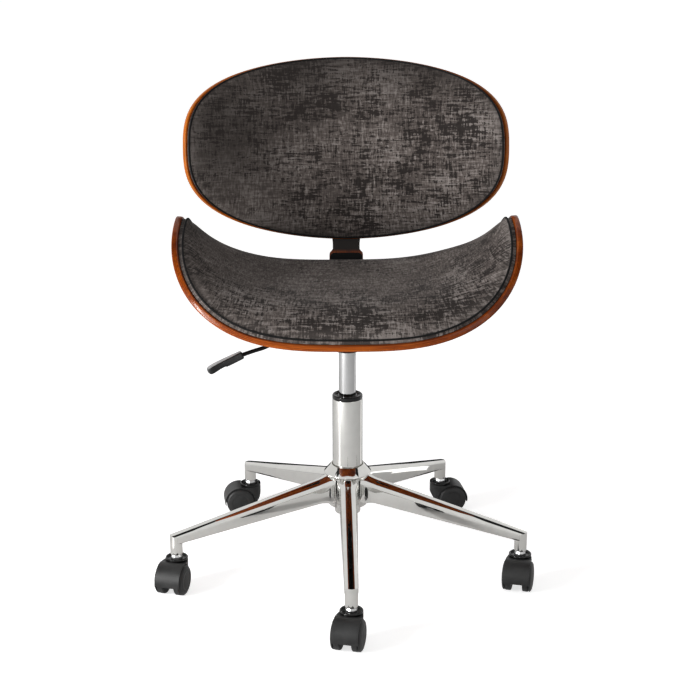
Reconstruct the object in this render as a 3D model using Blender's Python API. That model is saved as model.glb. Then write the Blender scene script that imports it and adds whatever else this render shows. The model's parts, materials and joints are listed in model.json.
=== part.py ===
"""Height-adjustable swivel desk chair on five hooded twin-wheel casters.

Metres, +Z up. The sitter faces -Y. The origin is on the floor, under the
middle of the chair's outline.
"""
import math

import bmesh
import bpy
import numpy as np
from mathutils import Matrix, Vector

# Clearances
GAP = 0.0003                 # between pieces that touch or slide

# Place of the gas lift's axis from the middle of the outline
COLUMN_X = 0.0044
COLUMN_Y = 0.0123

# Twin-wheel casters
WHEEL_R = 0.025
WHEEL_INNER_X = 0.0095       # half the space between the two wheels
WHEEL_TREAD_X = WHEEL_INNER_X + 0.0103
WHEEL_FACE_X = WHEEL_TREAD_X + 0.0056
WHEEL_SIDES = 20
AXLE_R = 0.003
AXLE_HALF = WHEEL_TREAD_X - 0.003
CASTER_TRAIL = 0.0205        # stem axis to axle
HOOD_HALF_WIDTH = WHEEL_TREAD_X + 0.0012
HOOD_WALL = 0.0018
WHEEL_CLEARANCE = 0.0012
HOOD_TAIL_Z = WHEEL_R - 0.0045
HOOD_TOE_Z = WHEEL_R - 0.0085
WEB_HALF = WHEEL_INNER_X - 0.005
COLLAR_R = 0.0185
COLLAR_BOTTOM_Z = 2 * WHEEL_R + 0.0015
COLLAR_TOP_Z = COLLAR_BOTTOM_Z + 0.0055
COLLAR_RECESS_R = COLLAR_R - 0.0027
COLLAR_RECESS_DEPTH = 0.0035
STEM_PIN_R = 0.0055
STEM_LOWER_R = 0.004
STEM_NECK_R = STEM_PIN_R + 0.004
STEM_DEPTH = 0.021           # pivot below the collar's top
DRILL = 0.03                 # how far a drilled hole's cutter runs past its face
# Trailing direction of each caster in degrees from +X, front caster first
CASTER_TRAIL_ANGLES = (-104.0, -104.0, 8.0, 188.0, -106.0)

# Gas lift
TUBE_R = 0.025
TUBE_WALL = 0.0018
TUBE_BOTTOM_R = TUBE_R - 0.0035

# Five-leg base
LEG_COUNT = 5
BASE_TURN = 0.7              # degrees that the base is swivelled from straight ahead
CASTER_CIRCLE_R = 0.2972     # column axis to caster stem axis
SOCKET_R = STEM_PIN_R + 0.0048
SOCKET_BOTTOM_Z = COLLAR_TOP_Z + 0.005
SOCKET_BORE_DEPTH = 0.025
LEG_TIP_WIDTH = 2 * SOCKET_R + 0.0014
LEG_TIP_HEIGHT = 0.0175
LEG_TIP_Z = SOCKET_BOTTOM_Z + 0.0265    # middle of the leg at the caster socket
LEG_ROOT_WIDTH = 0.031
LEG_ROOT_HEIGHT = 0.0425
LEG_ROOT_Z = LEG_TIP_Z + 0.0555         # middle of the leg where it meets the hub
LEG_TOP_FLAT = 0.010         # width of the ridge along the top
LEG_SHOULDER = 0.21          # drop of the sloping upper faces, as a share of the height
LEG_FLARE = 0.0045           # how far the root spreads up and down where it meets the hub
LEG_SIDE_FLARE = 0.0026      # the same sideways, clear of the next leg
LEG_FLARE_LENGTH = 0.020
HUB_BODY_R = TUBE_R + 0.0078
HUB_LIP_R = HUB_BODY_R + 0.0040
HUB_LIP_HEIGHT = 0.0015
HUB_NECK = 0.007             # height over which the body spreads to the lip
HUB_TOP_R = TUBE_R + 0.0018
HUB_BOTTOM_Z = LEG_TIP_Z + 0.0235
HUB_BODY_TOP_Z = HUB_BOTTOM_Z + 0.0577
HUB_TOP_Z = HUB_BODY_TOP_Z + 0.0133

# Heights of the gas lift, which its column's taper seats in the hub
TUBE_BOTTOM_Z = HUB_BOTTOM_Z - 0.015
TUBE_FLOOR_Z = TUBE_BOTTOM_Z + 0.006
TUBE_FLOOR_T = 0.004
COLUMN_HEIGHT = 0.115        # outer tube above the hub
TUBE_TOP_Z = HUB_TOP_Z + COLUMN_HEIGHT
BUSH_TOP_Z = TUBE_TOP_Z + 0.007
BUSH_LENGTH = 0.058
INNER_TUBE_R = 0.014
INNER_TUBE_WALL = 0.0015
INNER_TUBE_BOTTOM_Z = HUB_TOP_Z - 0.005
INNER_TUBE_SHOWN = 0.122     # pressure tube above the outer tube
INNER_TUBE_TOP_Z = TUBE_TOP_Z + INNER_TUBE_SHOWN
INNER_TUBE_TOP_R = INNER_TUBE_R - 0.001
ROD_R = 0.005
ROD_FLANGE_R = ROD_R + 0.006
ROD_FLANGE_T = 0.004
BEARING_R = ROD_R + 0.010
BEARING_T = 0.005
CLIP_R = ROD_R + 0.004
CLIP_T = 0.003
PISTON_R = INNER_TUBE_R - INNER_TUBE_WALL - 0.0004
PISTON_BOTTOM_Z = INNER_TUBE_BOTTOM_Z + 0.060
PISTON_T = 0.012
BUTTON_R = 0.004
BUTTON_TOP_Z = INNER_TUBE_TOP_Z + 0.0077

# Seat plate, whose boss seats on the pressure tube's taper
PLATE_T = 0.0025
PLATE_DEPTH = 0.0205         # pan's underside below the shell's
PLATE_FRONT_Y = -0.088
PLATE_REAR_Y = 0.078
PAN_Z = INNER_TUBE_TOP_Z     # underside of the pan
PAN_HALF_WIDTH = 0.052
FLANGE_WIDTH = 0.034
FLANGE_HALF_WIDTH = PAN_HALF_WIDTH + FLANGE_WIDTH
BOSS_R = INNER_TUBE_R + 0.0095
BOSS_BOTTOM_Z = PAN_Z - 0.040
BOSS_ROUND = 0.005
TAPER_BOTTOM_Z = BOSS_BOTTOM_Z - 0.002
BOLT_X = PAN_HALF_WIDTH + FLANGE_WIDTH / 2
BOLT_Y = (PLATE_FRONT_Y + 0.022, PLATE_REAR_Y - 0.022)
BOLT_R = 0.003
BOLT_HEAD_R = BOLT_R + 0.0025
BOLT_HEAD_T = 0.0038

# Seat shell: one bend across the width, rounded outline
SEAT_UNDER_Z = PAN_Z + PLATE_DEPTH      # underside of the shell at its middle
SEAT_CENTRE_Y = 0.011        # behind the column axis
SEAT_HALF_ARC = 0.3637
SEAT_END_ANGLE = math.radians(98)
SEAT_BEND_POWER = 2.14
SEAT_HALF_DEPTH = 0.226
SEAT_OUTLINE = (2.8, 1.65)   # powers of the outline across and along
SHELL_T = 0.010
BOLT_REACH = SHELL_T * 0.75  # how far a bolt enters a shell
SEAT_PAD_INSET = 0.0034
SEAT_PAD_EDGE = 0.008
SEAT_PAD_CROWN = 0.045

# Back shell: a round bend, reclined
BACK_ABOVE_SEAT = 0.226      # middle of the back above the seat shell's underside
BACK_Y = SEAT_CENTRE_Y + SEAT_HALF_DEPTH + 0.048    # front of the shell at its middle
BACK_Z = SEAT_UNDER_Z + BACK_ABOVE_SEAT
BACK_RECLINE = math.radians(10.9)
BACK_HALF_ARC = 0.2985
BACK_END_ANGLE = math.radians(34.4)
BACK_HALF_HEIGHT = 0.1595
BACK_OUTLINE = (1.89, 2.76)
BACK_PAD_INSET = 0.0034
BACK_PAD_EDGE = 0.009
BACK_PAD_CROWN = 0.028

# Pad edges and the welt round both pads
PAD_DRAW = 0.0008            # how far the boxing is drawn in
PAD_ROUND = 0.002
PAD_CROWN_POWER = 6.0        # higher keeps the top flatter
PAD_SHOULDER_POWER = 0.62    # lower makes the shoulder fuller
PIPING_R = 0.0013
PIPING_SIDES = 5

# Height lever, a bent rod from over the release button to a moulded paddle
LEVER_R = 0.0033
LEVER_Z = BUTTON_TOP_Z + GAP + LEVER_R
LEVER_PIVOT_X = -0.040
# Places along the rod from the column's axis, and how far each lies below the rod's inner end
LEVER_ROUTE = ((0.006, 0.0, 0.0), (-0.030, 0.0, 0.0), (-0.050, 0.0, 0.0), (-0.064, -0.004, 0.002),
               (-0.090, -0.017, 0.0126), (-0.127, -0.032, 0.0331), (-0.155, -0.042, 0.0406),
               (-0.186, -0.053, 0.0486))
LEVER_PIN_R = 0.002
EAR_T = 0.0025
LEVER_PIN_HALF = LEVER_R + GAP + EAR_T + 0.0047
HANDLE_START = (-0.1695, -0.0475, 0.0436)
HANDLE_AIM = (-0.055, -0.0185, 0.022)
HANDLE_LENGTH = 0.062
HANDLE_WIDTH = 0.0205
HANDLE_T = 0.0125

# Spine between seat and back
SPINE_T = 0.013
SPINE_CHAMFER = 0.0025
SPINE_START_Y = PLATE_REAR_Y + 0.010
SPINE_FOOT_WIDTH = 0.060
SPINE_WAIST_WIDTH = 0.048
SPINE_HEAD_WIDTH = 0.066
SPINE_BEND_R = 0.019
SPINE_TOP_V = 0.045          # above the middle of the back
BRACKET_T = 0.003
BRACKET_WIDTH = SPINE_FOOT_WIDTH - 0.0025
BRACKET_TOP_Z = SEAT_UNDER_Z + 0.0440
SPINE_SEAT_BOLT_Y = (SPINE_START_Y + 0.030, SEAT_CENTRE_Y + SEAT_HALF_DEPTH - 0.065)
SPINE_BACK_BOLT_V = (-0.085, -0.02)

ROUND_SIDES = 24
HUB_SIDES = 6 * LEG_COUNT    # so that each leg meets the same facets
BOLT_SIDES = 10


def clear_scene():
    for old in list(bpy.data.objects):
        bpy.data.objects.remove(old, do_unlink=True)


def make_material(name, colour, roughness, metallic=0.0):
    material = bpy.data.materials.new(name)
    material.use_nodes = True
    shader = material.node_tree.nodes["Principled BSDF"]
    shader.inputs["Base Color"].default_value = (*colour, 1.0)
    shader.inputs["Roughness"].default_value = roughness
    shader.inputs["Metallic"].default_value = metallic
    material.diffuse_color = (*colour, 1.0)
    return material


def add_object(name, bm, material, parent=None, flat=False):
    """Turn a bmesh into a named object under its parent empty."""
    bmesh.ops.recalc_face_normals(bm, faces=bm.faces)
    mesh = bpy.data.meshes.new(name)
    bm.to_mesh(mesh)
    bm.free()
    mesh.materials.append(material)
    if not flat:
        mesh.shade_smooth()
        mesh.set_sharp_from_angle(angle=math.radians(35))
    piece = bpy.data.objects.new(name, mesh)
    bpy.context.collection.objects.link(piece)
    piece.parent = parent
    return piece


def add_empty(name, location, parent=None, turn=0.0):
    empty = bpy.data.objects.new(name, None)
    bpy.context.collection.objects.link(empty)
    empty.location = location
    empty.rotation_euler = (0.0, 0.0, turn)
    empty.parent = parent
    return empty


def turned(profile, sides=ROUND_SIDES, offset=0.0):
    """Revolve (radius, height) points about Z; a radius of 0 closes a pole."""
    bm = bmesh.new()
    verts = [bm.verts.new((r * math.cos(offset), r * math.sin(offset), z)) for r, z in profile]
    edges = [bm.edges.new(pair) for pair in zip(verts, verts[1:])]
    if profile[0][0] > 0.0:
        edges.append(bm.edges.new((verts[-1], verts[0])))
    bmesh.ops.spin(bm, geom=verts + edges, cent=(0, 0, 0), axis=(0, 0, 1),
                   angle=2 * math.pi, steps=sides, use_merge=True)
    bmesh.ops.remove_doubles(bm, verts=bm.verts, dist=1e-6)
    return bm


def extruded(outline, depth, axes=None):
    """Extrude a closed 2-D outline by depth along local Z, then turn it."""
    bm = bmesh.new()
    face = bm.faces.new([bm.verts.new((x, y, 0.0)) for x, y in outline])
    grown = bmesh.ops.extrude_face_region(bm, geom=[face])
    tops = [v for v in grown["geom"] if isinstance(v, bmesh.types.BMVert)]
    bmesh.ops.translate(bm, vec=(0, 0, depth), verts=tops)
    if axes is not None:
        bmesh.ops.transform(bm, matrix=axes, verts=bm.verts)
    return bm


def lofted(rings):
    """Bridge closed rings of equal point counts and cap both ends."""
    bm = bmesh.new()
    loops = [[bm.verts.new(p) for p in ring] for ring in rings]
    count = len(loops[0])
    for lower, upper in zip(loops, loops[1:]):
        for i in range(count):
            j = (i + 1) % count
            bm.faces.new((lower[i], lower[j], upper[j], upper[i]))
    bm.faces.new(list(reversed(loops[0])))
    bm.faces.new(loops[-1])
    return bm


def cylinder(radius, start, end, sides=BOLT_SIDES):
    """Closed cylinder between two points."""
    start, end = Vector(start), Vector(end)
    along = end - start
    bm = bmesh.new()
    bmesh.ops.create_cone(bm, cap_ends=True, segments=sides, radius1=radius,
                          radius2=radius, depth=along.length)
    turn = along.to_track_quat("Z", "Y").to_matrix().to_4x4()
    bmesh.ops.transform(bm, matrix=Matrix.Translation((start + end) / 2) @ turn, verts=bm.verts)
    return bm


def combine(base, tool, operation):
    """Boolean of two bmeshes, which returns the result as a new bmesh."""
    objects = []
    for name, bm in (("shape", base), ("tool", tool)):
        bmesh.ops.recalc_face_normals(bm, faces=bm.faces)
        mesh = bpy.data.meshes.new(name)
        bm.to_mesh(mesh)
        bm.free()
        piece = bpy.data.objects.new(name, mesh)
        bpy.context.collection.objects.link(piece)
        objects.append(piece)
    modifier = objects[0].modifiers.new("combine", "BOOLEAN")
    modifier.operation = operation
    modifier.object = objects[1]
    modifier.solver = "EXACT"
    graph = bpy.context.evaluated_depsgraph_get()
    graph.update()
    result = bmesh.new()
    result.from_mesh(objects[0].evaluated_get(graph).to_mesh())
    for piece in objects:
        mesh = piece.data
        bpy.data.objects.remove(piece, do_unlink=True)
        bpy.data.meshes.remove(mesh)
    bmesh.ops.remove_doubles(result, verts=result.verts, dist=2e-6)
    bmesh.ops.dissolve_degenerate(result, dist=2e-6, edges=result.edges)
    return result


def arc(cx, cy, radius, start, end, steps):
    """Points of an arc in degrees, both ends included."""
    return [(cx + radius * math.cos(math.radians(start + (end - start) * i / steps)),
             cy + radius * math.sin(math.radians(start + (end - start) * i / steps)))
            for i in range(steps + 1)]


class BentSheet:
    """Plywood sheet bent about one direction.

    The bend angle at arc length s is end_angle * (s / half_arc) ** power, so
    power 1 is a round bend, and a higher power keeps the middle flat.
    """

    def __init__(self, half_arc, end_angle, power):
        self.half_arc = half_arc
        steps = 400
        self.s = np.linspace(0.0, half_arc * 1.02, steps)
        self.angle = end_angle * (self.s / half_arc) ** power
        middle = (self.angle[1:] + self.angle[:-1]) / 2
        step = self.s[1] - self.s[0]
        self.x = np.concatenate([[0.0], np.cumsum(np.cos(middle) * step)])
        self.z = np.concatenate([[0.0], np.cumsum(np.sin(middle) * step)])

    def point(self, s, v, height):
        """Place at arc length s, v along the straight direction, height off the sheet."""
        side = -1.0 if s < 0 else 1.0
        s = abs(s)
        angle = np.interp(s, self.s, self.angle)
        x = np.interp(s, self.s, self.x) - height * math.sin(angle)
        z = np.interp(s, self.s, self.z) + height * math.cos(angle)
        return Vector((side * x, v, z))


def outline_point(angle, half_s, half_v, powers):
    """Point of a superellipse; powers are those across and along the sheet."""
    c, s = math.cos(angle), math.sin(angle)
    across = math.copysign(abs(c) ** (2 / powers[0]), c) * half_s
    along = math.copysign(abs(s) ** (2 / powers[1]), s) * half_v
    return across, along


class Panel:
    """A bent sheet with its rounded outline, shared by the shell, its pad and its welt."""

    def __init__(self, sheet, half_s, half_v, powers, pad_inset, pad_edge, pad_crown, count, rings):
        self.sheet = sheet
        self.half_s = half_s
        self.half_v = half_v
        self.powers = powers
        self.pad_inset = pad_inset
        self.pad_edge = pad_edge
        self.pad_crown = pad_crown
        self.angles = [2 * math.pi * i / count for i in range(count)]
        self.scales = [1.0 - (1.0 - k / rings) ** 1.5 for k in range(1, rings)]

    def row(self, height, inset, scale=1.0):
        """Points round the outline at one height, one inset and one scale."""
        points = []
        for a in self.angles:
            s, v = outline_point(a, self.half_s - inset, self.half_v - inset, self.powers)
            points.append(self.sheet.point(s * scale, v * scale, height))
        return points


def sheet_solid(panel, under, walls, upper, skin_inset):
    """Closed solid on a panel.

    under and upper give the skins' heights at each ring scale, and walls the
    rows of the side between them as (inset, height). Both skins keep their
    rings at skin_inset, so that stacked skins have parallel facets.
    """
    bm = bmesh.new()
    rows = [panel.row(under(k), skin_inset, k) for k in panel.scales]
    rows += [panel.row(height, inset) for inset, height in walls]
    rows += [panel.row(upper(k), skin_inset, k) for k in reversed(panel.scales)]
    loops = [[bm.verts.new(p) for p in row] for row in rows]
    count = len(panel.angles)
    middle = len(rows) // 2
    for row, (first, second) in enumerate(zip(loops, loops[1:])):
        for i in range(count):
            j = (i + 1) % count
            # both skins split their facets along the same diagonal
            if row < middle:
                bm.faces.new((first[i], first[j], second[j]))
                bm.faces.new((first[i], second[j], second[i]))
            else:
                bm.faces.new((first[i], first[j], second[i]))
                bm.faces.new((first[j], second[j], second[i]))
    for loop, height in ((loops[0], under(0.0)), (loops[-1], upper(0.0))):
        pole = bm.verts.new(panel.sheet.point(0.0, 0.0, height))
        for i in range(count):
            bm.faces.new((loop[i], loop[(i + 1) % count], pole))
    return bm


def shell_solid(panel):
    """Bentwood shell with eased edges; its outer face is at height 0."""
    ease = 0.0015
    inset = panel.pad_inset
    walls = [(inset, 0.0), (ease, 0.0), (0.0, ease), (0.0, SHELL_T - ease), (ease, SHELL_T),
             (inset, SHELL_T)]
    return sheet_solid(panel, lambda k: 0.0, walls, lambda k: SHELL_T, inset)


def pad_solid(panel):
    """Upholstered pad with a boxed side, drawn in under the welt, and a crown."""
    base = SHELL_T + GAP
    inset = panel.pad_inset
    edge = panel.pad_edge
    walls = [(inset, base), (inset + PAD_DRAW, base + edge * 0.5), (inset, base + edge - PAD_ROUND / 2),
             (inset + PAD_ROUND * 1.5, base + edge + PAD_ROUND)]

    def top(k):
        swell = (1.0 - k ** PAD_CROWN_POWER) ** PAD_SHOULDER_POWER
        return base + edge + PAD_ROUND + (panel.pad_crown - edge - PAD_ROUND) * swell

    return sheet_solid(panel, lambda k: base, walls, top, inset)


def piping_solid(panel):
    """Welt that runs round the pad's upper edge."""
    out = panel.pad_inset - PIPING_R - GAP
    height = SHELL_T + GAP + panel.pad_edge - PIPING_R
    step = 0.01              # to a near point that gives the direction inward
    bm = bmesh.new()
    loops = []
    for centre, near, above in zip(panel.row(height, out), panel.row(height, out + step),
                                   panel.row(height + step, out)):
        inward = (near - centre).normalized()
        lift = (above - centre).normalized()
        loops.append([bm.verts.new(centre + PIPING_R * (math.cos(t) * inward + math.sin(t) * lift))
                      for t in (2 * math.pi * k / PIPING_SIDES for k in range(PIPING_SIDES))])
    count = len(loops)
    for i in range(count):
        first, second = loops[i], loops[(i + 1) % count]
        for k in range(PIPING_SIDES):
            m = (k + 1) % PIPING_SIDES
            bm.faces.new((first[k], first[m], second[m], second[k]))
    return bm


def hub_neck(clear):
    """Body, neck and lip of the hub as (radius, height), standing out by clear."""
    lip_z = HUB_BODY_TOP_Z - HUB_LIP_HEIGHT
    return [
        (HUB_BODY_R + clear, lip_z - HUB_NECK),
        (HUB_BODY_R + (HUB_LIP_R - HUB_BODY_R) * 0.3 + clear, lip_z - HUB_NECK * 0.4 - clear),
        (HUB_LIP_R + clear, lip_z - clear),
        (HUB_LIP_R + clear, HUB_BODY_TOP_Z),
    ]


def hub_profile():
    """Hub: straight body, shoulder, cone and a bore that fits the lift's taper."""
    return [
        (tube_outer_r(HUB_BOTTOM_Z) + GAP, HUB_BOTTOM_Z),
        (HUB_BODY_R - 0.0015, HUB_BOTTOM_Z),
        (HUB_BODY_R, HUB_BOTTOM_Z + 0.0015),
    ] + hub_neck(0.0) + [
        (HUB_TOP_R + 0.001, HUB_TOP_Z - 0.001),
        (HUB_TOP_R, HUB_TOP_Z),
        (tube_outer_r(HUB_TOP_Z) + GAP, HUB_TOP_Z),
    ]


def tube_outer_r(z):
    """Outside of the lift's column, which tapers inside the hub."""
    share = min(max((HUB_TOP_Z - z) / (HUB_TOP_Z - TUBE_BOTTOM_Z), 0.0), 1.0)
    return TUBE_R + (TUBE_BOTTOM_R - TUBE_R) * share


def inner_tube_r(z):
    """Outside of the pressure tube, which tapers inside the seat plate's boss."""
    share = min(max((z - TAPER_BOTTOM_Z) / (INNER_TUBE_TOP_Z - TAPER_BOTTOM_Z), 0.0), 1.0)
    return INNER_TUBE_R + (INNER_TUBE_TOP_R - INNER_TUBE_R) * share


def leg_angle(i):
    """Direction of leg i from +X; the first points to the sitter's front."""
    return math.radians(-90 + BASE_TURN + 360 / LEG_COUNT * i)


def leg_section(x, grow=0.0):
    """Section of a leg at x: narrow ridge, sloping shoulders, upright sides."""
    share = (x - HUB_BODY_R) / (CASTER_CIRCLE_R - HUB_BODY_R)
    half_wide = (LEG_ROOT_WIDTH + (LEG_TIP_WIDTH - LEG_ROOT_WIDTH) * share) / 2 + grow * LEG_SIDE_FLARE / LEG_FLARE
    high = LEG_ROOT_HEIGHT + (LEG_TIP_HEIGHT - LEG_ROOT_HEIGHT) * share
    top = LEG_ROOT_Z + (LEG_TIP_Z - LEG_ROOT_Z) * share + high / 2 + grow
    bottom = top - high - 2 * grow
    ridge = LEG_TOP_FLAT / 2
    ease = 0.0012
    shoulder = top - high * LEG_SHOULDER - grow
    half = [(ridge, top), (half_wide - ease, shoulder + ease), (half_wide, shoulder - ease),
            (half_wide, bottom + high * 0.14), (half_wide * 0.86, bottom + high * 0.03), (half_wide * 0.55, bottom)]
    return [Vector((x, u, z)) for u, z in half + [(-u, z) for u, z in reversed(half)]]


def leg_solid():
    """One leg along +X from the hub, with its caster socket at the tip."""
    tip = CASTER_CIRCLE_R
    root = HUB_LIP_R
    places = [(HUB_BODY_R * 0.75, LEG_FLARE), (root, LEG_FLARE), (root + LEG_FLARE_LENGTH * 0.35, LEG_FLARE * 0.4),
              (root + LEG_FLARE_LENGTH, 0.0), (tip + SOCKET_R + 0.002, 0.0)]
    leg = lofted([leg_section(x, grow) for x, grow in places])
    plan = [(-0.01, -0.05), (tip - 0.002, -0.05)] + arc(tip, 0, SOCKET_R, -88, 88, 6)
    plan += [(tip - 0.002, 0.05), (-0.01, 0.05)]
    leg = combine(leg, extruded(plan, HUB_TOP_Z + 0.05), "INTERSECT")
    socket = cylinder(SOCKET_R, (tip, 0, SOCKET_BOTTOM_Z), (tip, 0, LEG_TIP_Z), 16)
    leg = combine(leg, socket, "UNION")
    bore = cylinder(STEM_PIN_R + GAP, (tip, 0, SOCKET_BOTTOM_Z - 0.01),
                    (tip, 0, SOCKET_BOTTOM_Z + SOCKET_BORE_DEPTH), 12)
    leg = combine(leg, bore, "DIFFERENCE")
    low, high = HUB_BOTTOM_Z - 0.05, HUB_TOP_Z + 0.05
    neck = hub_neck(GAP)
    hub = turned([(0.0, low), (HUB_BODY_R + GAP, low)] + neck[:-1] + [(HUB_LIP_R + GAP, high), (0.0, high)],
                 HUB_SIDES)
    return combine(leg, hub, "DIFFERENCE")


def hood_solid():
    """Caster hood: axle at the origin's height, stem at +X, wheels either side.

    The side view's outline is crossed with the plan's outline, and the
    wheels, axle, stem and collar recess are cut out.
    """
    inner_r = WHEEL_R + WHEEL_CLEARANCE
    outer_r = inner_r + HOOD_WALL
    stem_x = CASTER_TRAIL
    front_x = stem_x + COLLAR_R
    tail_angle = 180 + math.degrees(math.asin((WHEEL_R - HOOD_TAIL_Z) / outer_r))
    toe_x = math.sqrt(inner_r ** 2 - (WHEEL_R - HOOD_TOE_Z) ** 2)
    side = arc(0, WHEEL_R, outer_r, tail_angle, 84, 9)
    side += [(stem_x - COLLAR_R + 0.006, COLLAR_BOTTOM_Z + 0.0015), (front_x, COLLAR_BOTTOM_Z + 0.0015)]
    side += [(front_x, WHEEL_R + 0.011), (front_x - 0.0012, WHEEL_R + 0.0055),
             (front_x - 0.0045, WHEEL_R + 0.0005), (front_x - 0.0095, WHEEL_R - 0.0042),
             (toe_x + 0.0005, HOOD_TOE_Z)]
    side += [(0.010, HOOD_TOE_Z), (-0.004, HOOD_TOE_Z + 0.001), (-0.012, HOOD_TAIL_Z)]
    upright = Matrix(((1, 0, 0, 0), (0, 0, 1, -HOOD_HALF_WIDTH), (0, 1, 0, 0), (0, 0, 0, 1)))
    hood = extruded(side, 2 * HOOD_HALF_WIDTH, upright)
    plan = [(-0.04, -HOOD_HALF_WIDTH - 0.001), (0.004, -HOOD_HALF_WIDTH - 0.001)]
    plan += arc(stem_x, 0, COLLAR_R + 0.0005, -75, 75, 8)
    plan += [(0.004, HOOD_HALF_WIDTH + 0.001), (-0.04, HOOD_HALF_WIDTH + 0.001)]
    hood = combine(hood, extruded(plan, 0.08, Matrix.Translation((0, 0, -0.005))), "INTERSECT")
    collar = turned([(0.0, COLLAR_BOTTOM_Z - 0.012), (COLLAR_R - 0.001, COLLAR_BOTTOM_Z - 0.012),
                     (COLLAR_R, COLLAR_BOTTOM_Z), (COLLAR_R, COLLAR_TOP_Z - 0.0008),
                     (COLLAR_R - 0.0008, COLLAR_TOP_Z), (COLLAR_RECESS_R, COLLAR_TOP_Z),
                     (COLLAR_RECESS_R - 0.0008, COLLAR_TOP_Z - COLLAR_RECESS_DEPTH),
                     (0.0, COLLAR_TOP_Z - COLLAR_RECESS_DEPTH)], 16)
    bmesh.ops.translate(collar, vec=(stem_x, 0, 0), verts=collar.verts)
    hood = combine(hood, collar, "UNION")
    for side_sign in (-1, 1):
        well = cylinder(inner_r, (0, side_sign * WEB_HALF, WHEEL_R),
                        (0, side_sign * (HOOD_HALF_WIDTH + 0.01), WHEEL_R), 20)
        hood = combine(hood, well, "DIFFERENCE")
    axle_bore = cylinder(AXLE_R + GAP, (0, -0.03, WHEEL_R), (0, 0.03, WHEEL_R))
    hood = combine(hood, axle_bore, "DIFFERENCE")
    stem_bore = cylinder(STEM_LOWER_R + GAP, (stem_x, 0, COLLAR_TOP_Z - STEM_DEPTH - 0.001),
                         (stem_x, 0, COLLAR_TOP_Z + 0.01), 10)
    return combine(hood, stem_bore, "DIFFERENCE")


def wheel_solid():
    """Wheel on the +Y side: tread, domed face and a blind bore for the axle.

    The tread's flats, not its corners, lie at the wheel's radius, so that a
    flat rests on the floor.
    """
    bore_end = AXLE_HALF + GAP
    tread_r = WHEEL_R / math.cos(math.pi / WHEEL_SIDES)
    profile = [
        (0.0, bore_end),
        (AXLE_R + GAP, bore_end),
        (AXLE_R + GAP, WHEEL_INNER_X),
        (tread_r, WHEEL_INNER_X),
        (tread_r, WHEEL_TREAD_X - 0.0008),
        (tread_r - 0.0014, WHEEL_TREAD_X + 0.0011),
        (WHEEL_R * 0.72, WHEEL_FACE_X - 0.0012),
        (WHEEL_R * 0.36, WHEEL_FACE_X - 0.0002),
        (0.0, WHEEL_FACE_X),
    ]
    bm = turned(profile, WHEEL_SIDES, math.pi / WHEEL_SIDES)
    sideways = Matrix(((1, 0, 0, 0), (0, 0, 1, 0), (0, 1, 0, 0), (0, 0, 0, 1)))
    bmesh.ops.transform(bm, matrix=sideways, verts=bm.verts)
    return bm


def stem_profile():
    """Caster stem: pin for the leg's socket, neck, and the pivot in the hood."""
    neck_top = SOCKET_BOTTOM_Z - GAP
    neck_bottom = COLLAR_TOP_Z - COLLAR_RECESS_DEPTH + GAP
    pin_top = SOCKET_BOTTOM_Z + SOCKET_BORE_DEPTH - 0.001
    bottom = COLLAR_TOP_Z - STEM_DEPTH
    return [
        (0.0, bottom),
        (STEM_LOWER_R, bottom),
        (STEM_LOWER_R, neck_bottom),
        (STEM_NECK_R, neck_bottom),
        (STEM_NECK_R, neck_bottom + 0.004),
        (STEM_NECK_R * 0.85, neck_top),
        (STEM_PIN_R, neck_top),
        (STEM_PIN_R, pin_top - 0.002),
        (STEM_PIN_R - 0.0012, pin_top),
        (0.0, pin_top),
    ]


def bolt_solid(seat_point, direction, reach):
    """Bolt whose head's inner face is at seat_point; direction is into the work."""
    direction = Vector(direction).normalized()
    profile = [(0.0, -BOLT_HEAD_T), (BOLT_HEAD_R - 0.001, -BOLT_HEAD_T),
               (BOLT_HEAD_R, -BOLT_HEAD_T + 0.0012), (BOLT_HEAD_R, 0.0), (BOLT_R, 0.0),
               (BOLT_R, reach), (0.0, reach)]
    bm = turned(profile, BOLT_SIDES)
    turn = direction.to_track_quat("Z", "Y").to_matrix().to_4x4()
    bmesh.ops.transform(bm, matrix=Matrix.Translation(seat_point) @ turn, verts=bm.verts)
    return bm


def flange_top(sheet):
    """Highest the plate's flange can lie under the bent shell."""
    return SEAT_UNDER_Z + sheet.point(PAN_HALF_WIDTH, 0, 0).z - GAP


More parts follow.
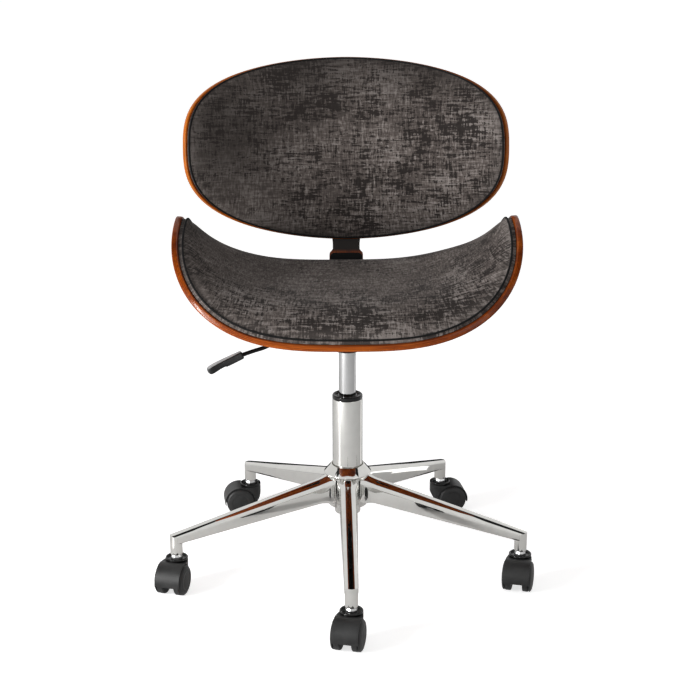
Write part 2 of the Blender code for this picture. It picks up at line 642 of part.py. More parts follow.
def seat_plate_solid(sheet):
    """Pressed plate of top-hat section with a conical boss and lever ears."""
    top = flange_top(sheet)
    pan_top = PAN_Z + PLATE_T
    half = [(PAN_HALF_WIDTH - 0.006, PAN_Z), (PAN_HALF_WIDTH, PAN_Z + 0.004),
            (PAN_HALF_WIDTH + 0.002, top - PLATE_T), (FLANGE_HALF_WIDTH, top - PLATE_T),
            (FLANGE_HALF_WIDTH, top), (PAN_HALF_WIDTH, top),
            (PAN_HALF_WIDTH - PLATE_T, pan_top + 0.003), (PAN_HALF_WIDTH - 0.008, pan_top)]
    outline = half + [(-x, z) for x, z in reversed(half)]
    upright = Matrix(((1, 0, 0, 0), (0, 0, 1, PLATE_FRONT_Y), (0, 1, 0, 0), (0, 0, 0, 1)))
    plate = extruded(outline, PLATE_REAR_Y - PLATE_FRONT_Y, upright)
    boss_bore_bottom = inner_tube_r(BOSS_BOTTOM_Z) + GAP
    boss = turned([(0.0, BOSS_BOTTOM_Z)]
                  + [(BOSS_R - BOSS_ROUND + x, BOSS_BOTTOM_Z + BOSS_ROUND + z)
                     for x, z in arc(0, 0, BOSS_ROUND, -90, 0, 3)]
                  + [(BOSS_R + 0.001, PAN_Z - 0.006), (BOSS_R + 0.007, PAN_Z + 0.0008),
                     (0.0, PAN_Z + 0.0008)])
    plate = combine(plate, boss, "UNION")
    for side_sign in (-1, 1):
        ear_y = side_sign * (LEVER_R + GAP + EAR_T / 2)
        ear_half = 0.006
        low, high = pan_top - 0.001, LEVER_Z + 0.0055
        ear = extruded([(LEVER_PIVOT_X - ear_half, low), (LEVER_PIVOT_X + ear_half, low),
                        (LEVER_PIVOT_X + ear_half * 0.6, high), (LEVER_PIVOT_X - ear_half * 0.6, high)],
                       EAR_T, Matrix(((1, 0, 0, 0), (0, 0, 1, ear_y - EAR_T / 2), (0, 1, 0, 0), (0, 0, 0, 1))))
        plate = combine(plate, ear, "UNION")
    bore = turned([(0.0, BOSS_BOTTOM_Z - 0.01), (boss_bore_bottom, BOSS_BOTTOM_Z - 0.01),
                   (boss_bore_bottom, BOSS_BOTTOM_Z),
                   (inner_tube_r(pan_top) + GAP, pan_top), (inner_tube_r(pan_top) + GAP, pan_top + 0.01),
                   (0.0, pan_top + 0.01)])
    plate = combine(plate, bore, "DIFFERENCE")
    slot_low, slot_high = LEVER_Z - 0.0075, LEVER_Z + 0.0075
    slot = extruded([(-PAN_HALF_WIDTH - 0.02, slot_low), (-PAN_HALF_WIDTH + 0.010, slot_low),
                     (-PAN_HALF_WIDTH + 0.010, slot_high), (-PAN_HALF_WIDTH - 0.02, slot_high)],
                    0.016, Matrix(((1, 0, 0, 0), (0, 0, 1, -0.010), (0, 1, 0, 0), (0, 0, 0, 1))))
    plate = combine(plate, slot, "DIFFERENCE")
    pin_bore = cylinder(LEVER_PIN_R + GAP, (LEVER_PIVOT_X, -0.02, LEVER_Z), (LEVER_PIVOT_X, 0.02, LEVER_Z))
    plate = combine(plate, pin_bore, "DIFFERENCE")
    for x in (-BOLT_X, BOLT_X):
        for y in BOLT_Y:
            hole = cylinder(BOLT_R + GAP, (x, y, top - DRILL), (x, y, top + DRILL))
            plate = combine(plate, hole, "DIFFERENCE")
    return plate


def below_lever(place):
    """Point at (x, y, depth below the rod's inner end)."""
    x, y, depth = place
    return Vector((x, y, LEVER_Z - depth))


def lever_solid():
    """Round rod through the route, with the pin's cross bore."""
    route = [below_lever(place) for place in LEVER_ROUTE]
    sides = 10
    rings = []
    for i, centre in enumerate(route):
        before = route[max(i - 1, 0)]
        after = route[min(i + 1, len(route) - 1)]
        along = (after - before).normalized()
        side = along.cross(Vector((0, 0, 1))).normalized()
        lift = side.cross(along)
        rings.append([centre + LEVER_R * (math.cos(t) * side + math.sin(t) * lift)
                      for t in (2 * math.pi * k / sides for k in range(sides))])
    rod = lofted(rings)
    bore = cylinder(LEVER_PIN_R + GAP, (LEVER_PIVOT_X, -0.02, LEVER_Z), (LEVER_PIVOT_X, 0.02, LEVER_Z))
    return combine(rod, bore, "DIFFERENCE")


def handle_solid():
    """Flat moulded paddle, scalloped on top for the thumb, bored for the rod."""
    start = below_lever(HANDLE_START)
    along = Vector((HANDLE_AIM[0], HANDLE_AIM[1], -HANDLE_AIM[2])).normalized()
    side = along.cross(Vector((0, 0, 1))).normalized()
    lift = side.cross(along)
    rings = []
    count = 12
    # shares of the handle's length, width and thickness at each station
    stations = ((0.0, 0.55, 0.90), (0.06, 0.70, 1.0), (0.30, 0.85, 1.0), (0.48, 0.95, 0.80),
                (0.66, 1.0, 0.80), (0.85, 1.0, 0.95), (0.96, 0.90, 0.90), (1.0, 0.70, 0.65))
    for share, width, thick in stations:
        centre = start + along * (HANDLE_LENGTH * share)
        rings.append([centre + side * u + lift * w for u, w in (
            outline_point(2 * math.pi * i / count, HANDLE_WIDTH / 2 * width, HANDLE_T / 2 * thick, (3.2, 3.2))
            for i in range(count))])
    paddle = lofted(rings)
    rod_end, rod_before = below_lever(LEVER_ROUTE[-1]), below_lever(LEVER_ROUTE[-2])
    reach = (rod_end - rod_before).normalized()
    bore = cylinder(LEVER_R + GAP, rod_before - reach * 0.01, rod_end + reach * GAP, 12)
    return combine(paddle, bore, "DIFFERENCE")


def back_frame():
    """Matrix from the back sheet's own axes to the chair's."""
    return (Matrix.Translation((0, BACK_Y, BACK_Z))
            @ Matrix.Rotation(math.pi / 2 - BACK_RECLINE, 4, "X"))


def back_line(v, behind):
    """Point in the middle plane: v up the back, behind the shell's front face."""
    sin_r, cos_r = math.sin(BACK_RECLINE), math.cos(BACK_RECLINE)
    return Vector((0, BACK_Y + v * sin_r + behind * cos_r, BACK_Z + v * cos_r - behind * sin_r))


def bend_path(top_z, behind, start_y, end_z, radius, steps=7):
    """Path in the middle plane: back along z = top_z, round the bend, up the back's slope.

    Each entry is a point and the direction that leans away from the sitter.
    """
    sin_r, cos_r = math.sin(BACK_RECLINE), math.cos(BACK_RECLINE)
    foot_v = (top_z - BACK_Z + behind * sin_r) / cos_r
    corner = back_line(foot_v, behind)
    turn = math.pi / 2 - BACK_RECLINE
    reach = radius * math.tan(turn / 2)
    centre = Vector((0, corner.y - reach, top_z + radius))
    path = [(Vector((0, start_y, top_z)), Vector((0, 0, -1)))]
    for i in range(steps + 1):
        a = turn * i / steps
        away = Vector((0, math.sin(a), -math.cos(a)))
        path.append((centre + away * radius, away))
    away = Vector((0, cos_r, -sin_r))
    up = Vector((0, sin_r, cos_r))
    last = path[-1][0]
    path.append((last + up * ((end_z - last.z) / cos_r), away))
    return path


def strip_solid(stations, thickness, chamfer):
    """Sweep a chamfered strip through (point, away direction, width) stations."""
    rings = []
    for point, away, width in stations:
        half = width / 2
        across = Vector((1, 0, 0))
        ring = [(-half + chamfer, 0), (half - chamfer, 0), (half, chamfer), (half, thickness - chamfer),
                (half - chamfer, thickness), (-half + chamfer, thickness), (-half, thickness - chamfer),
                (-half, chamfer)]
        rings.append([point + across * x + away * d for x, d in ring])
    return lofted(rings)


def spine_limits():
    """Height of the spine foot's upper face, and how far the spine lies behind the back's front."""
    under = SEAT_UNDER_Z - 2 * GAP - BRACKET_T
    behind = SHELL_T + GAP
    return under, behind


def spine_solid():
    """Bentwood spine: foot under the seat, waist in the gap, head behind the back."""
    under, behind = spine_limits()
    waist_z = BACK_Z - BACK_HALF_HEIGHT * math.cos(BACK_RECLINE) - 0.008
    path = bend_path(under, behind, SPINE_START_Y, BRACKET_TOP_Z - 0.004, SPINE_BEND_R)
    stations = [(point, away, SPINE_FOOT_WIDTH) for point, away in path]
    start_point, start_away, start_width = stations[0]
    stations[0] = (start_point, start_away, start_width - 0.012)
    stations.insert(1, (start_point + Vector((0, 0.006, 0)), start_away, start_width))
    away = path[-1][1]
    first_v = (BRACKET_TOP_Z - BACK_Z) / math.cos(BACK_RECLINE)
    waist_v = (waist_z - BACK_Z) / math.cos(BACK_RECLINE)
    rows = [(first_v + 0.003, SPINE_FOOT_WIDTH - 0.004), (first_v + 0.007, SPINE_WAIST_WIDTH),
            (waist_v, SPINE_WAIST_WIDTH), (waist_v + 0.05, SPINE_WAIST_WIDTH + 0.010),
            (waist_v + 0.09, SPINE_HEAD_WIDTH), (SPINE_TOP_V - 0.018, SPINE_HEAD_WIDTH),
            (SPINE_TOP_V - 0.007, SPINE_HEAD_WIDTH - 0.010), (SPINE_TOP_V, SPINE_HEAD_WIDTH - 0.032)]
    stations += [(back_line(v, behind), away, width) for v, width in rows]
    spine = strip_solid(stations, SPINE_T, SPINE_CHAMFER)
    for y in SPINE_SEAT_BOLT_Y:
        hole = cylinder(BOLT_R + GAP, (0, y, under - DRILL), (0, y, under + DRILL))
        spine = combine(spine, hole, "DIFFERENCE")
    for v in SPINE_BACK_BOLT_V:
        hole = cylinder(BOLT_R + GAP, back_line(v, behind - DRILL), back_line(v, behind + DRILL))
        spine = combine(spine, hole, "DIFFERENCE")
    return spine


def bracket_solid():
    """Steel angle nested inside the spine's bend, with rounded top corners."""
    under, behind = spine_limits()
    top_z = SEAT_UNDER_Z - GAP
    path = bend_path(top_z, behind - GAP - BRACKET_T, SPINE_START_Y + 0.004,
                     BRACKET_TOP_Z - 0.006, SPINE_BEND_R - BRACKET_T - GAP)
    stations = [(point, away, BRACKET_WIDTH) for point, away in path]
    last, away, width = stations[-1]
    up = Vector((0, math.sin(BACK_RECLINE), math.cos(BACK_RECLINE)))
    for rise, trim in ((0.0025, 0.002), (0.0048, 0.007), (0.006, 0.014)):
        stations.append((last + up * rise, away, width - trim))
    bracket = strip_solid(stations, BRACKET_T, 0.0004)
    for y in SPINE_SEAT_BOLT_Y:
        hole = cylinder(BOLT_R + GAP, (0, y, top_z - DRILL), (0, y, top_z + DRILL))
        bracket = combine(bracket, hole, "DIFFERENCE")
    return bracket


def build_base(root, mats):
    add_object("base_hub", turned(hub_profile(), HUB_SIDES, leg_angle(0)), mats["chrome"], root)
    for i in range(LEG_COUNT):
        turn = leg_angle(i)
        arm = add_empty(f"leg_{i + 1}_direction", (0, 0, 0), root, turn)
        add_object(f"base_leg_{i + 1}", leg_solid(), mats["chrome"], arm)


def build_casters(root, mats):
    for i in range(LEG_COUNT):
        name = f"caster_{i + 1}"
        around = leg_angle(i)
        stem_place = (CASTER_CIRCLE_R * math.cos(around), CASTER_CIRCLE_R * math.sin(around), 0)
        trail = math.radians(CASTER_TRAIL_ANGLES[i])
        pivot = add_empty(f"{name}_swivel", stem_place, root, trail + math.pi)
        add_object(f"{name}_stem", turned(stem_profile(), 10), mats["steel"], pivot)
        carrier = add_empty(f"{name}_axle_line", (-CASTER_TRAIL, 0, 0), pivot)
        add_object(f"{name}_hood", hood_solid(), mats["caster"], carrier)
        add_object(f"{name}_axle", cylinder(AXLE_R, (0, -AXLE_HALF, WHEEL_R), (0, AXLE_HALF, WHEEL_R)),
                   mats["steel"], carrier)
        for side, turn in (("left", math.pi), ("right", 0.0)):
            hub = add_empty(f"{name}_{side}_hub", (0, 0, WHEEL_R), carrier, turn)
            add_object(f"{name}_wheel_{side}", wheel_solid(), mats["caster"], hub)


def build_lift(root, mats):
    floor_r = tube_outer_r(TUBE_FLOOR_Z)
    outer = [
        (tube_outer_r(TUBE_BOTTOM_Z) - TUBE_WALL, TUBE_BOTTOM_Z), (tube_outer_r(TUBE_BOTTOM_Z), TUBE_BOTTOM_Z),
        (tube_outer_r(HUB_TOP_Z), HUB_TOP_Z), (TUBE_R, TUBE_TOP_Z), (TUBE_R - TUBE_WALL, TUBE_TOP_Z),
        (tube_outer_r(HUB_TOP_Z) - TUBE_WALL, HUB_TOP_Z),
        (floor_r - TUBE_WALL, TUBE_FLOOR_Z + TUBE_FLOOR_T), (ROD_R + GAP, TUBE_FLOOR_Z + TUBE_FLOOR_T),
        (ROD_R + GAP, TUBE_FLOOR_Z), (floor_r - TUBE_WALL, TUBE_FLOOR_Z),
    ]
    add_object("lift_outer_tube", turned(outer), mats["chrome"], root)
    sleeve_r = TUBE_R - TUBE_WALL - GAP
    bore_r = INNER_TUBE_R + GAP
    bush = [
        (bore_r, BUSH_TOP_Z - BUSH_LENGTH), (sleeve_r, BUSH_TOP_Z - BUSH_LENGTH), (sleeve_r, TUBE_TOP_Z + GAP),
        (TUBE_R, TUBE_TOP_Z + GAP), (TUBE_R, BUSH_TOP_Z - 0.0015), (TUBE_R - 0.0015, BUSH_TOP_Z),
        (TUBE_R - 0.004, BUSH_TOP_Z), (TUBE_R - 0.005, BUSH_TOP_Z - 0.002), (bore_r + 0.002, BUSH_TOP_Z - 0.002),
        (bore_r, BUSH_TOP_Z - 0.003),
    ]
    add_object("lift_guide_bush", turned(bush), mats["black"], root)
    bearing_z = TUBE_FLOOR_Z + TUBE_FLOOR_T + GAP
    groove_r = BEARING_R - 0.001
    bearing = [(ROD_R + GAP, bearing_z), (BEARING_R, bearing_z), (BEARING_R, bearing_z + BEARING_T * 0.3),
               (groove_r, bearing_z + BEARING_T * 0.3), (groove_r, bearing_z + BEARING_T * 0.7),
               (BEARING_R, bearing_z + BEARING_T * 0.7), (BEARING_R, bearing_z + BEARING_T),
               (ROD_R + GAP, bearing_z + BEARING_T)]
    add_object("lift_thrust_bearing", turned(bearing, 14), mats["steel"], root)

    clip_top = TUBE_FLOOR_Z - GAP
    neck_r = ROD_R - 0.0015
    flange_z = bearing_z + BEARING_T + GAP
    rod = [
        (0.0, clip_top - CLIP_T - 0.0015), (ROD_R, clip_top - CLIP_T - 0.0015), (ROD_R, clip_top - CLIP_T - GAP),
        (neck_r, clip_top - CLIP_T - GAP), (neck_r, clip_top), (ROD_R, clip_top), (ROD_R, flange_z),
        (ROD_FLANGE_R, flange_z), (ROD_FLANGE_R, flange_z + ROD_FLANGE_T), (ROD_R, flange_z + ROD_FLANGE_T),
        (ROD_R, PISTON_BOTTOM_Z), (PISTON_R, PISTON_BOTTOM_Z), (PISTON_R, PISTON_BOTTOM_Z + PISTON_T),
        (0.0, PISTON_BOTTOM_Z + PISTON_T),
    ]
    add_object("lift_piston_rod", turned(rod, 12), mats["steel"], root)
    clip = [(neck_r + GAP, clip_top - CLIP_T), (CLIP_R, clip_top - CLIP_T), (CLIP_R, clip_top),
            (neck_r + GAP, clip_top)]
    add_object("lift_bottom_clip", turned(clip, 16), mats["steel"], root)

    cavity_r = INNER_TUBE_R - INNER_TUBE_WALL
    foot = 0.010
    head = 0.008
    inner = [
        (ROD_R + GAP, INNER_TUBE_BOTTOM_Z), (INNER_TUBE_R, INNER_TUBE_BOTTOM_Z),
        (INNER_TUBE_R, TAPER_BOTTOM_Z), (INNER_TUBE_TOP_R, INNER_TUBE_TOP_Z),
        (BUTTON_R + GAP, INNER_TUBE_TOP_Z), (BUTTON_R + GAP, INNER_TUBE_TOP_Z - head),
        (INNER_TUBE_TOP_R - INNER_TUBE_WALL, INNER_TUBE_TOP_Z - head), (cavity_r, TAPER_BOTTOM_Z),
        (cavity_r, INNER_TUBE_BOTTOM_Z + foot), (ROD_R + GAP, INNER_TUBE_BOTTOM_Z + foot),
    ]
    add_object("lift_inner_tube", turned(inner), mats["tube"], root)
    button = [(0.0, INNER_TUBE_TOP_Z - head - 0.008), (BUTTON_R, INNER_TUBE_TOP_Z - head - 0.008),
              (BUTTON_R, BUTTON_TOP_Z - 0.001), (BUTTON_R - 0.001, BUTTON_TOP_Z), (0.0, BUTTON_TOP_Z)]
    add_object("lift_release_button", turned(button, 12), mats["steel"], root)


def build_seat(root, mats):
    sheet = BentSheet(SEAT_HALF_ARC, SEAT_END_ANGLE, SEAT_BEND_POWER)
    place = Matrix.Translation((0, SEAT_CENTRE_Y, SEAT_UNDER_Z))
    panel = Panel(sheet, SEAT_HALF_ARC, SEAT_HALF_DEPTH, SEAT_OUTLINE, SEAT_PAD_INSET, SEAT_PAD_EDGE,
                  SEAT_PAD_CROWN, 48, 5)
    shell = shell_solid(panel)
    bmesh.ops.transform(shell, matrix=place, verts=shell.verts)
    holes = [(x, y) for x in (-BOLT_X, BOLT_X) for y in BOLT_Y] + [(0, y) for y in SPINE_SEAT_BOLT_Y]
    for x, y in holes:
        shell = combine(shell, cylinder(BOLT_R + GAP, (x, y, SEAT_UNDER_Z - DRILL), (x, y, SEAT_UNDER_Z + DRILL)),
                        "DIFFERENCE")
    add_object("seat_shell", shell, mats["walnut"], root)
    pad = pad_solid(panel)
    bmesh.ops.transform(pad, matrix=place, verts=pad.verts)
    add_object("seat_pad", pad, mats["velvet"], root)
    piping = piping_solid(panel)
    bmesh.ops.transform(piping, matrix=place, verts=piping.verts)
    add_object("seat_piping", piping, mats["welt"], root)

    add_object("seat_plate", seat_plate_solid(sheet), mats["black"], root)
    under = flange_top(sheet) - PLATE_T - GAP
    number = 1
    for x in (-BOLT_X, BOLT_X):
        for y in BOLT_Y:
            rise = SEAT_UNDER_Z + sheet.point(BOLT_X, 0, 0).z - under + BOLT_REACH
            add_object(f"plate_bolt_{number}", bolt_solid((x, y, under), (0, 0, 1), rise), mats["steel"], root)
            number += 1


def build_lever(root, mats):
    add_object("lever_arm", lever_solid(), mats["black"], root)
    add_object("lever_handle", handle_solid(), mats["black"], root)
    pin = cylinder(LEVER_PIN_R, (LEVER_PIVOT_X, -LEVER_PIN_HALF, LEVER_Z), (LEVER_PIVOT_X, LEVER_PIN_HALF, LEVER_Z))
    add_object("lever_pivot", pin, mats["steel"], root)


def build_back(root, mats):
    sheet = BentSheet(BACK_HALF_ARC, BACK_END_ANGLE, 1.0)
    place = back_frame() @ Matrix.Translation((0, 0, -SHELL_T))
    panel = Panel(sheet, BACK_HALF_ARC, BACK_HALF_HEIGHT, BACK_OUTLINE, BACK_PAD_INSET, BACK_PAD_EDGE,
                  BACK_PAD_CROWN, 44, 4)
    shell = shell_solid(panel)
    bmesh.ops.transform(shell, matrix=place, verts=shell.verts)
    for v in SPINE_BACK_BOLT_V:
        shell = combine(shell, cylinder(BOLT_R + GAP, back_line(v, -DRILL), back_line(v, DRILL)), "DIFFERENCE")
    add_object("back_shell", shell, mats["walnut"], root)
    pad = pad_solid(panel)
    bmesh.ops.transform(pad, matrix=place, verts=pad.verts)
    add_object("back_pad", pad, mats["velvet"], root)
    piping = piping_solid(panel)
    bmesh.ops.transform(piping, matrix=place, verts=piping.verts)
    add_object("back_piping", piping, mats["welt"], root)

    add_object("back_spine", spine_solid(), mats["walnut"], root)
    add_object("spine_bracket", bracket_solid(), mats["black"], root)
    under, behind = spine_limits()
    for number, y in enumerate(SPINE_SEAT_BOLT_Y, 1):
        seat_point = Vector((0, y, under - SPINE_T - GAP))
        reach = SEAT_UNDER_Z - seat_point.z + BOLT_REACH
        add_object(f"spine_seat_bolt_{number}", bolt_solid(seat_point, (0, 0, 1), reach), mats["steel"], root)
    for number, v in enumerate(SPINE_BACK_BOLT_V, 1):
        seat_point = back_line(v, behind + SPINE_T + GAP)
        toward = back_line(v, 0) - seat_point
        reach = toward.length - SHELL_T + BOLT_REACH
        add_object(f"spine_back_bolt_{number}", bolt_solid(seat_point, toward, reach), mats["steel"], root)


def build_chair():
    clear_scene()
    mats = {
        "chrome": make_material("chrome", (0.80, 0.80, 0.80), 0.08, 1.0),
        "tube": make_material("polished_tube", (0.72, 0.72, 0.72), 0.15, 1.0),
        "steel": make_material("plain_steel", (0.45, 0.45, 0.46), 0.35, 1.0),
        "black": make_material("black_plastic", (0.02, 0.02, 0.02), 0.45),
        "caster": make_material("caster_plastic", (0.045, 0.045, 0.047), 0.5),
        "walnut": make_material("walnut", (0.24, 0.075, 0.02), 0.3),
        "velvet": make_material("velvet", (0.06, 0.052, 0.05), 0.9),
        "welt": make_material("welt", (0.012, 0.011, 0.011), 0.8),
    }
    root = add_empty("column_axis", (COLUMN_X, COLUMN_Y, 0))
    build_base(root, mats)
    build_casters(root, mats)
    build_lift(root, mats)
    build_seat(root, mats)
    build_lever(root, mats)
    build_back(root, mats)


build_chair()
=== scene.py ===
# Desk chair with bentwood seat and back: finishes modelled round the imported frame.
# Metres, +Z up, the sitter faces -Y.
import json
import math

import bmesh
import bpy
import numpy as np
from mathutils import Matrix, Vector


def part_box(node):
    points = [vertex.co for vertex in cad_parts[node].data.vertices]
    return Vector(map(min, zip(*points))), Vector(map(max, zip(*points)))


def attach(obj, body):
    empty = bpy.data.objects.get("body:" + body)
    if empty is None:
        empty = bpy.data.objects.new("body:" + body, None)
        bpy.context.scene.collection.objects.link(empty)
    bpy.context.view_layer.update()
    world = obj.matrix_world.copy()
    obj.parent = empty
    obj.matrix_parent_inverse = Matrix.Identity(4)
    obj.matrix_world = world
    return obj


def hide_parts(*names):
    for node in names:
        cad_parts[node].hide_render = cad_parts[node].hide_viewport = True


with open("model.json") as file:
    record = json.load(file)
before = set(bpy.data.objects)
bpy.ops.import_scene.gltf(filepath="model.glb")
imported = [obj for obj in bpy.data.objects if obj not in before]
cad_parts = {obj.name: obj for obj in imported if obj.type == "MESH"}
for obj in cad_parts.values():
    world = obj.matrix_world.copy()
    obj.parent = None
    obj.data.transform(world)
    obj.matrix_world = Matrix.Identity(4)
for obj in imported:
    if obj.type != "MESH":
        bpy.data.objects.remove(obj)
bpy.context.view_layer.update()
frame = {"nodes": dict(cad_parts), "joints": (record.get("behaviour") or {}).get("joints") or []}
frameJoints = {joint["name"]: joint for joint in frame["joints"]}
clearance = 0.0003         # between pieces that touch or slide


def nodeMiddle(node):
    low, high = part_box(node)
    return (Vector(low) + Vector(high)) / 2


def nodeTop(node):
    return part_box(node)[1][2]


def nodeBottom(node):
    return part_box(node)[0][2]


column = nodeMiddle("lift_outer_tube")
column.z = 0.0


# Mesh tools

def growRows(rows):
    # extrudes a ring of edges from row to row, then fills both ends
    bm = bmesh.new()
    order = bm.verts.layers.int.new("order")
    ring = bmesh.ops.create_circle(bm, segments=len(rows[0]), radius=1.0)["verts"]
    ring.sort(key=lambda vert: math.atan2(vert.co.y, vert.co.x))
    for index, vert in enumerate(ring):
        vert[order] = index
        vert.co = rows[0][index]
    edges = bm.edges[:]
    ends = [edges]
    for row in rows[1:]:
        made = bmesh.ops.extrude_edge_only(bm, edges=edges)["geom"]
        fresh = {item for item in made if isinstance(item, bmesh.types.BMVert)}
        for vert in fresh:
            vert.co = row[vert[order] % len(row)]
            vert[order] += len(row)
        edges = [item for item in made if isinstance(item, bmesh.types.BMEdge)
                 and item.verts[0] in fresh and item.verts[1] in fresh]
    ends.append(edges)
    for edges in ends:
        bmesh.ops.edgeloop_fill(bm, edges=edges)
    bm.verts.sort(key=lambda vert: vert[order])
    bm.verts.layers.int.remove(order)
    bmesh.ops.recalc_face_normals(bm, faces=bm.faces)
    return bm


def endFaces(bm):
    # the many-sided faces at the two ends
    return [face for face in bm.faces if len(face.verts) > 4]


def ringRound(centre, side, lift, radius, count):
    turns = [2 * math.pi * corner / count for corner in range(count)]
    return [centre + (side * math.cos(turn) + lift * math.sin(turn)) * radius for turn in turns]


def transformed(bm, matrix):
    bmesh.ops.transform(bm, matrix=matrix, verts=bm.verts)
    return bm


def addLayer(bm, name, values):
    # one number on each point, for the material
    layer = bm.verts.layers.float.new(name)
    for vert, value in zip(bm.verts, values):
        vert[layer] = value


def lathe(profile, steps=64, centre=(0, 0, 0)):
    # spins (radius, height) points about Z; a radius of 0 closes a pole
    bm = bmesh.new()
    verts = [bm.verts.new((radius, 0, height)) for radius, height in profile]
    edges = [bm.edges.new(pair) for pair in zip(verts, verts[1:])]
    if profile[0][0] > 0:
        edges.append(bm.edges.new((verts[-1], verts[0])))
    bmesh.ops.spin(bm, geom=verts + edges, cent=(0, 0, 0), axis=(0, 0, 1), angle=2 * math.pi,
                   steps=steps, use_merge=True)
    bmesh.ops.remove_doubles(bm, verts=bm.verts, dist=1e-6)
    bmesh.ops.recalc_face_normals(bm, faces=bm.faces)
    bmesh.ops.translate(bm, vec=centre, verts=bm.verts)
    return bm


def slab(outline, bottom, top):
    # upright block with the given (x, y) outline
    bm = bmesh.new()
    face = bm.faces.new([bm.verts.new((x, y, bottom)) for x, y in outline])
    grown = bmesh.ops.extrude_face_region(bm, geom=[face])["geom"]
    risen = [item for item in grown if isinstance(item, bmesh.types.BMVert)]
    bmesh.ops.translate(bm, vec=(0, 0, top - bottom), verts=risen)
    bmesh.ops.recalc_face_normals(bm, faces=bm.faces)
    return bm


def arc(centreX, centreY, radius, start, end, steps):
    # points of an arc in degrees, both ends included
    turns = [math.radians(start + (end - start) * step / steps) for step in range(steps + 1)]
    return [(centreX + radius * math.cos(turn), centreY + radius * math.sin(turn)) for turn in turns]


def easedCorner(before, corner, after, radius, steps):
    # points that round one corner of a profile
    before, corner, after = Vector(before), Vector(corner), Vector(after)
    reach = min(radius, (before - corner).length * 0.45, (after - corner).length * 0.45)
    start = corner + (before - corner).normalized() * reach
    end = corner + (after - corner).normalized() * reach
    shares = [step / steps for step in range(steps + 1)]
    return [tuple(start * (1 - share) ** 2 + corner * 2 * share * (1 - share) + end * share ** 2)
            for share in shares]


def roundCorners(profile, radius, steps=4, skip=()):
    # eases each inner corner of an open (x, z) profile
    points = [profile[0]]
    for index in range(1, len(profile) - 1):
        if index in skip:
            points.append(profile[index])
        else:
            points += easedCorner(profile[index - 1], profile[index], profile[index + 1], radius, steps)
    points.append(profile[-1])
    return points


def turned(profile, ease, steps=96, centre=(0, 0, 0), skip=()):
    # lathe of a profile with eased corners
    return lathe(roundCorners(profile, ease, skip=skip), steps, centre)


def turnedPiece(name, profile, ease, finish, body, node, skip=()):
    # a piece turned round the column's axis
    finishPiece(name, turned(profile, ease, centre=column, skip=skip), finish, body, (node,), 50.0)


def clamped(value, low, high):
    # share of the way from low to high, between 0 and 1
    return min(1.0, max(0.0, (value - low) / (high - low)))


def roundLoop(corners, radii, steps):
    # eases every corner of a closed outline, each by its own radius
    points = []
    for index, corner in enumerate(corners):
        after = corners[(index + 1) % len(corners)]
        points += easedCorner(corners[index - 1], corner, after, radii[index], steps)
    return points


def superOval(halfWide, halfHigh, powers, count):
    points = []
    for index in range(count):
        angle = 2 * math.pi * index / count - math.pi
        cos, sin = math.cos(angle), math.sin(angle)
        points.append((math.copysign(abs(cos) ** (2 / powers[0]), cos) * halfWide,
                       math.copysign(abs(sin) ** (2 / powers[1]), sin) * halfHigh))
    return points


def smoothRoute(points, steps):
    # Catmull-Rom curve through the points
    padded = [points[0] * 2 - points[1]] + points + [points[-1] * 2 - points[-2]]
    route = []
    for a, b, c, d in zip(padded, padded[1:], padded[2:], padded[3:]):
        for step in range(steps):
            t = step / steps
            route.append((b * 2 + (c - a) * t + (a * 2 - b * 5 + c * 4 - d) * t ** 2
                          + (b * 3 - a - c * 3 + d) * t ** 3) / 2)
    return route + [points[-1]]


def sweptRod(route, radius, sides):
    # round rod with slightly eased ends
    rows = []
    last = len(route) - 1
    for index, centre in enumerate(route):
        along = (route[min(index + 1, last)] - route[max(index - 1, 0)]).normalized()
        side = along.cross(Vector((0, 0, 1))).normalized()
        lift = side.cross(along)
        wide = radius * (0.8 if index in (0, last) else 1.0)
        rows.append(ringRound(centre, side, lift, wide, sides))
    return growRows(rows)


def meshFrom(name, bm):
    mesh = bpy.data.meshes.new(name)
    bm.to_mesh(mesh)
    bm.free()
    return mesh


def addObject(name, data):
    made = bpy.data.objects.new(name, data)
    bpy.context.collection.objects.link(made)
    return made


def finishPiece(name, bm, finish, body, replaced, sharpAngle):
    mesh = meshFrom(name, bm)
    mesh.materials.append(materials[finish])
    mesh.shade_smooth()
    mesh.set_sharp_from_angle(angle=math.radians(sharpAngle))
    piece = addObject(name, mesh)
    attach(piece, body)
    if replaced:
        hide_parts(*replaced)
    return piece


def addBevel(piece, width, segments):
    bevel = piece.modifiers.new("easedEdges", "BEVEL")
    bevel.width = width
    bevel.segments = segments
    bevel.limit_method = "ANGLE"
    bevel.angle_limit = math.radians(35)
    bevel.harden_normals = True


def evaluated(piece):
    graph = bpy.context.evaluated_depsgraph_get()
    graph.update()
    bm = bmesh.new()
    bm.from_mesh(piece.evaluated_get(graph).to_mesh())
    return bm


def carve(base, tool, operation="DIFFERENCE"):
    # boolean of two bmeshes through the modifier
    helpers = [addObject("helper", meshFrom("helper", bm)) for bm in (base, tool)]
    cut = helpers[0].modifiers.new("carve", "BOOLEAN")
    cut.operation = operation
    cut.object = helpers[1]
    cut.solver = "EXACT"
    result = evaluated(helpers[0])
    for helper in helpers:
        mesh = helper.data
        bpy.data.objects.remove(helper, do_unlink=True)
        bpy.data.meshes.remove(mesh)
    bmesh.ops.remove_doubles(result, verts=result.verts, dist=2e-6)
    return result


# Material tools

def newMaterial(name):
    material = bpy.data.materials.new(name)
    material.use_nodes = True
    tree = material.node_tree
    return material, tree, tree.nodes["Principled BSDF"]


def feed(tree, socket, value):
    # links another node's output, or sets a plain value
    if isinstance(value, bpy.types.NodeSocket):
        tree.links.new(value, socket)
    elif socket.type == "RGBA":
        socket.default_value = (*value, 1.0)
    else:
        socket.default_value = value


